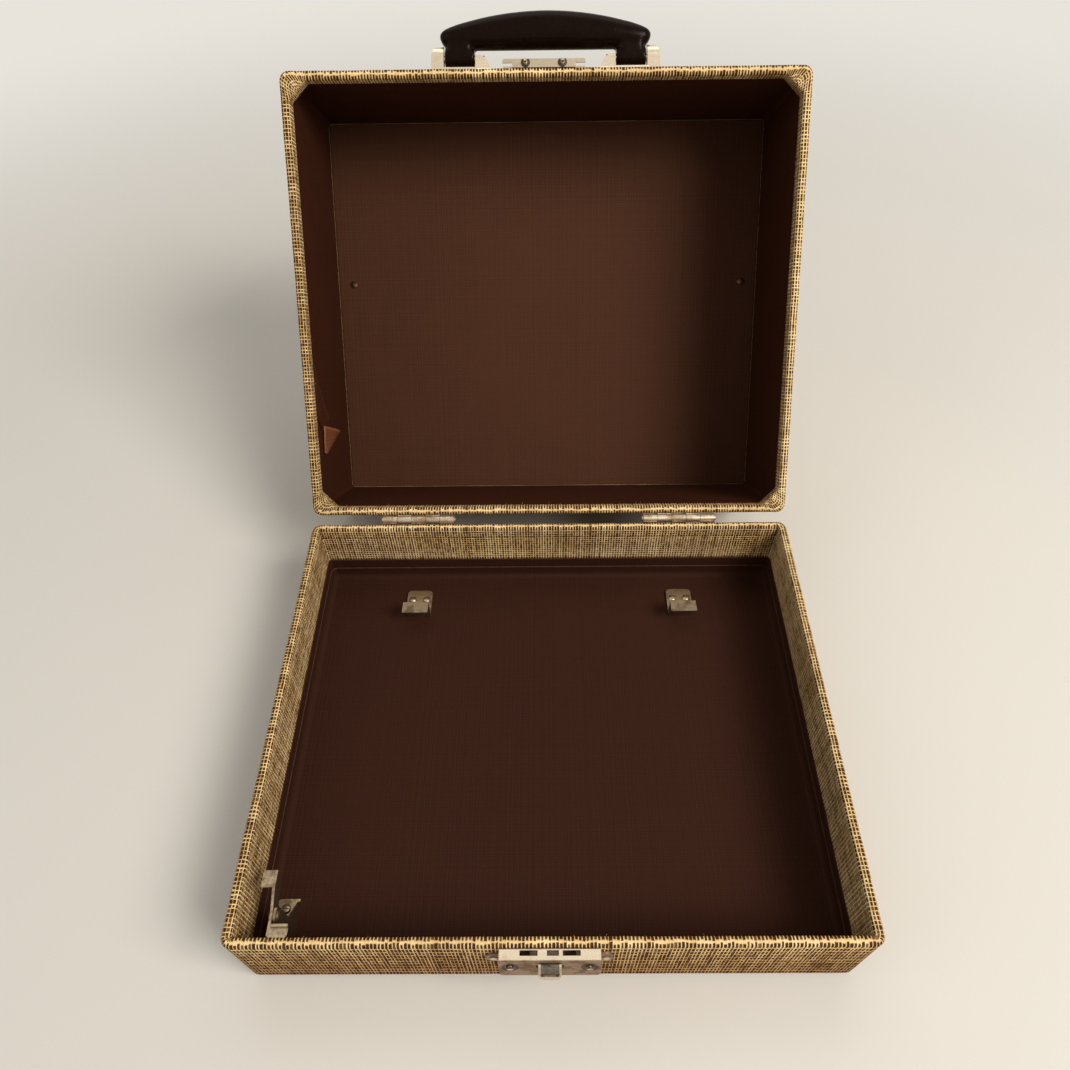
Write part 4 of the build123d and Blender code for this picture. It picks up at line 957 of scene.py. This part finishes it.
def hangingPoint(down, across):
    # the piece above the flap still hangs on at the rim and stands off along the tear
    at = min(int(down * 3), 2)
    lines = [[Vector(point) for point in tear[key][at:at + 2]] for key in ("foot", "edge")]
    foot, edge = (start.lerp(end, down * 3 - at) for start, end in lines)
    point = foot.lerp(edge, across)
    lift = 0.0002 + 0.0026 * across ** 1.5 * math.sin(math.pi * 0.5 * down)
    return point.x, point.y, lift, 1.0 if 1 in (down, across) else 0.0


def buildTornFlap():
    work = bmesh.new()
    work.loops.layers.uv.new("weave")
    work.verts.layers.float.new("border")
    ninths = [index / 9 for index in range(10)]
    thinShell(work, [[flapPoint(down, across) for across in ninths] for down in ninths], 1)
    hanging = [[hangingPoint(index / 16, across) for across in (0, 0.5, 0.88, 1)] for index in range(17)]
    thinShell(work, hanging, 0)
    return finishMesh(work, "tornFlap", ["wallLining", "rawCard"], standOpen)


tornFlap = buildTornFlap()
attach(tornFlap, "lid")
print("torn lining added")

# frayed threads along the tweed's cut edges and rims, scattered on guide lines
looseThreads = {
    "Per Metre": 260.0, "Length": 0.0016, "Thickness": 0.000055, "Seed": 5,
    "Material": bpy.data.materials["frayedThread"],
}
# each body's two lines: how far through the wall and how deep below the rim they lie
threadLines = {"shares": (0.98, 0.99), "tray": (0.0098, 0.0030), "lid": (0.0088, 0.0030), "step": 0.006}


def buildThreadTree():
    tree = bpy.data.node_groups.new("frayedThreads", "GeometryNodeTree")
    kinds = {"Geometry": "Geometry", "Per Metre": "Float", "Length": "Float", "Thickness": "Float",
             "Seed": "Int", "Material": "Material"}
    for socketName, kind in kinds.items():
        tree.interface.new_socket(socketName, in_out="INPUT", socket_type="NodeSocket" + kind)
    tree.interface.new_socket("Geometry", in_out="OUTPUT", socket_type="NodeSocketGeometry")
    given = tree.nodes.new("NodeGroupInput").outputs
    out = tree.nodes.new("NodeGroupOutput").inputs

    def add(kind, settings=None, output=0, **inputs):
        return addNode(kind, settings, tree, **inputs).outputs[output]

    def evenly(size):
        return add("ShaderNodeCombineXYZ", X=size, Y=size, Z=size)

    guide = add("GeometryNodeMeshToCurve", Mesh=given["Geometry"])
    spacing = maths("DIVIDE", 1.0, given["Per Metre"])
    points = add("GeometryNodeCurveToPoints", {"mode": "LENGTH"}, Curve=guide, Length=spacing)
    chance = add("FunctionNodeRandomValue", {"data_type": "BOOLEAN"}, 3, Seed=given["Seed"], Probability=0.45)
    keep = add("GeometryNodeDeleteGeometry", {"domain": "POINT"}, Geometry=points, Selection=chance)
    bend = {"Start": (0, 0, 0), "Middle": (0.1, 0.35, 0.6), "End": (0.6, 0.1, 1.0)}
    thread = add("GeometryNodeCurveQuadraticBezier", Resolution=4, **bend)
    thread = add("GeometryNodeTransform", Geometry=thread, Scale=evenly(given["Length"]))
    section = add("GeometryNodeCurvePrimitiveCircle", {"mode": "RADIUS"}, Resolution=3, Radius=1.0)
    section = add("GeometryNodeTransform", Geometry=section, Scale=evenly(given["Thickness"]))
    tube = add("GeometryNodeCurveToMesh", Curve=thread, **{"Profile Curve": section, "Fill Caps": True})
    leans = {"Min": (-1.2, -1.2, -3.1), "Max": (1.2, 1.2, 3.1)}
    turn = add("FunctionNodeRandomValue", {"data_type": "FLOAT_VECTOR"}, Seed=given["Seed"], **leans)
    size = addNode("FunctionNodeRandomValue", {"data_type": "FLOAT"}, Seed=plus(given["Seed"], 3.0))
    feed(size.inputs[2], 0.4)
    feed(size.inputs[3], 1.15)
    placed = add("GeometryNodeInstanceOnPoints", Points=keep, Instance=tube, Rotation=turn,
                 Scale=size.outputs[1])
    real = add("GeometryNodeRealizeInstances", Geometry=placed)
    feed(out["Geometry"], add("GeometryNodeSetMaterial", Geometry=real, Material=given["Material"]))
    return tree


threadTree = buildThreadTree()


def madePlain(holder):
    # gives the mesh that its modifiers make and removes it
    bpy.context.view_layer.update()
    evaluated = holder.evaluated_get(bpy.context.evaluated_depsgraph_get())
    plain = bpy.data.meshes.new_from_object(evaluated)
    bpy.data.objects.remove(holder)
    return plain


def fray(name, body, cloth, move):
    # the threads along the cut edge and the rim's inner side become one plain mesh
    points = []
    edges = []
    path = caseWalls(threadLines["step"], cloth["cornerFold"])
    for share, depth in zip(threadLines["shares"], threadLines[body]):
        first = len(points)
        height = cloth["rimHeight"] - cloth["side"] * depth
        for index, place in enumerate(path):
            point = (place.point + place.way * place.reach * share).to_3d() + Vector((0, 0, height))
            points.append(tuple(move @ point))
            edges.append((first + index, first + (index + 1) % len(path)))
    mesh = bpy.data.meshes.new(name + "Guide")
    mesh.from_pydata(points, edges, [])
    guide = showPiece(name + "Guide", mesh)
    modifier = guide.modifiers.new("threads", "NODES")
    modifier.node_group = threadTree
    for item in threadTree.interface.items_tree:
        if item.name in looseThreads and item.in_out == "INPUT":
            modifier[item.identifier] = looseThreads[item.name]
    piece = showPiece(name, madePlain(guide))
    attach(piece, body)


fray("trayThreads", "tray", trayCloth, levelTray)
fray("lidThreads", "lid", lidCloth, standOpen)
print("edges frayed")

# the moulded grip: the CAD form with its meeting lines softened, as the mould leaves them
gripMould = {"voxel": 0.0007, "softening": 16}


def buildGrip():
    mesh = frame["nodes"]["handle_grip"].data.copy()
    work = bmesh.new()
    work.from_mesh(mesh)
    bmesh.ops.remove_doubles(work, verts=work.verts, dist=1e-5)
    work.to_mesh(mesh)
    work.free()
    rough = showPiece("gripRough", mesh)
    even = rough.modifiers.new("even", "REMESH")
    even.mode = "VOXEL"
    even.voxel_size = gripMould["voxel"]
    even.use_smooth_shade = True
    soften = rough.modifiers.new("soften", "SMOOTH")
    soften.factor = 0.5
    soften.iterations = gripMould["softening"]
    plain = madePlain(rough)
    plain.materials.clear()
    return showPiece("handleGrip", plain, ["mouldedBrown"])


handleGrip = buildGrip()
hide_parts("handle_grip")
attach(handleGrip, "handle")
print("grip softened:", len(handleGrip.data.polygons), "faces")


def bothSides(*names):
    return [side + name for name in names for side in ("left_", "right_")]


# finishes for the CAD nodes
nodeFinishes = {
    "polishedNickel": bothSides("handle_bracket", "handle_pin") + [
        "handle_bracket_rivets", "hasp_studs", "hasp_rivets", "lock_case"],
    "haspNickel": ["hasp_plate"],
    "rivetNickel": ["lock_ear_rivets", "lock_front_rivets"],
    "tackBrown": ["lid_panel_tacks"],
    "thumbNickel": ["lock_thumb_slide"],
    "brownedNickel": ["lock_front_plate", "lock_back_plate"],
    "darkenedSteel": ["lock_slide_plate"],
    "tarnishedNickel": bothSides("hinge_tray_leaf", "hinge_lid_leaf", "hinge_pin") + [
        "tray_hinge_rivets", "lid_hinge_rivets", "bottom_feet", "tray_back_feet", "lid_back_feet"],
    "agedSteel": bothSides("rear_hook") + [
        "rear_hook_screws", "clamp_bracket", "clamp_lever", "clamp_pivot_rivet", "clamp_screws"],
    "plainSteel": ["bottom_foot_screws", "tray_back_foot_screws", "lid_back_foot_screws"],
    "mouldedBrown": ["handle_grip"],
    "bareBoard": trayBoards + lidBoards,
}
for finish, nodeNames in nodeFinishes.items():
    for nodeName in nodeNames:
        mesh = frame["nodes"][nodeName].data
        mesh.materials.clear()
        mesh.materials.append(bpy.data.materials[finish])
print("CAD nodes finished")

# floor, light and camera
studio = {
    "floorColour": srgb(218, 213, 204),
    "floorPatches": srgb(212, 207, 198),
    "floorHalf": 12.0,
    "fade": (0.5, 1.35),
    "backdrop": srgb(232, 228, 220),
    "ambient": (1.0, 0.97, 0.93, 1.0),
    "ambientStrength": 0.3,
}
# each lamp: its place, what it looks at, its size, power and colour
lamps = {
    "keyLamp": ((1.4, -1.0, 1.8), (0, 0, 0.1), (1.2, 1.0), 55.0, (1.0, 0.97, 0.92)),
    "fillLamp": ((-1.7, -0.6, 1.6), (0, 0, 0.1), (1.4, 1.4), 6.0, (0.95, 0.97, 1.0)),
    "topLamp": ((0.0, 1.1, 2.1), (0, 0.1, 0.2), (2.2, 1.2), 9.0, (1.0, 0.99, 0.97)),
}


def showBackdrop(outputName, surface, backdrop, share=1.0):
    # the camera and gloss see the backdrop, and all other rays the surface
    tree = surface.id_data
    rays = addNode("ShaderNodeLightPath", tree=tree).outputs
    seen = largest(rays["Is Camera Ray"], rays["Is Glossy Ray"], rays["Is Transmission Ray"])
    blend = addNode("ShaderNodeMixShader", tree=tree)
    feedInOrder(blend, (times(seen, share), surface.outputs[0], backdrop.outputs[0]))
    feed(tree.nodes[outputName].inputs["Surface"], blend.outputs[0])


def buildFloor():
    mesh = bpy.data.meshes.new("studioFloor")
    half, z = studio["floorHalf"], cadBounds[0][2]
    corners = [(-half, -half, z), (half, -half, z), (half, half, z), (-half, half, z)]
    mesh.from_pydata(corners, [], [(0, 1, 2, 3)])
    shader, place = newMaterial("studioFloor")
    colour = mixColour(noiseValue(place, 3.0, 3.0), studio["floorColour"], studio["floorPatches"])
    feed(shader.inputs["Base Color"], colour)
    feed(shader.inputs["Roughness"], 0.85)
    # far out the floor fades into the backdrop
    faded = addNode("ShaderNodeEmission", tree=shader.id_data, Color=studio["backdrop"], Strength=1.0)
    showBackdrop("Material Output", shader, faded, ramp(vectorMaths("LENGTH", place), *studio["fade"]))
    showPiece("studioFloor", mesh, ["studioFloor"])


def buildWorld():
    world = bpy.data.worlds.new("studioWorld")
    world.use_nodes = True
    background = world.node_tree.nodes["Background"]
    feedInOrder(background, (studio["ambient"], studio["ambientStrength"]))
    shown = addNode("ShaderNodeBackground", tree=world.node_tree, Color=studio["backdrop"], Strength=1.0)
    showBackdrop("World Output", background, shown)
    scene.world = world


def buildLamp(name, spot, target, size, power, colour):
    data = bpy.data.lights.new(name, "AREA")
    data.shape = "RECTANGLE"
    data.size, data.size_y = size
    data.energy = power
    data.color = colour
    holder = bpy.data.objects.new(name, data)
    holder.location = spot
    holder.rotation_euler = (Vector(target) - Vector(spot)).to_track_quat("-Z", "Y").to_euler()
    scene.collection.objects.link(holder)


# the camera that was fitted to the photograph
view = {
    "pictureSize": 1070,
    "focal": 829.17,
    "position": (-0.00044, trayMiddleY - 0.24930, 0.50179),
    "pitch": 0.9076,
    "roll": -0.0171,
    "yaw": 0.0128,
    "centre": (541.82, 575.64),
}


def buildCamera():
    size = view["pictureSize"]
    data = bpy.data.cameras.new("photoCamera")
    data.sensor_width = 36.0
    data.lens = view["focal"] / size * data.sensor_width
    data.shift_x = (size / 2 - view["centre"][0]) / size
    data.shift_y = (view["centre"][1] - size / 2) / size
    data.clip_start = 0.02
    camera = bpy.data.objects.new("photoCamera", data)
    upsideDown = Matrix.Rotation(math.pi, 3, "X")
    lean = Matrix.Rotation(view["roll"], 3, "Z")
    look = Matrix.Rotation(math.pi / 2 + view["pitch"], 3, "X")
    turn = Matrix.Rotation(-view["yaw"], 3, "Z")
    rotation = (upsideDown @ lean @ look @ turn).transposed()
    camera.matrix_world = Matrix.Translation(view["position"]) @ rotation.to_4x4()
    scene.collection.objects.link(camera)
    scene.camera = camera


buildFloor()
buildWorld()
for lampName, values in lamps.items():
    buildLamp(lampName, *values)
buildCamera()
scene.view_settings.view_transform = "Standard"
print("studio and camera set")
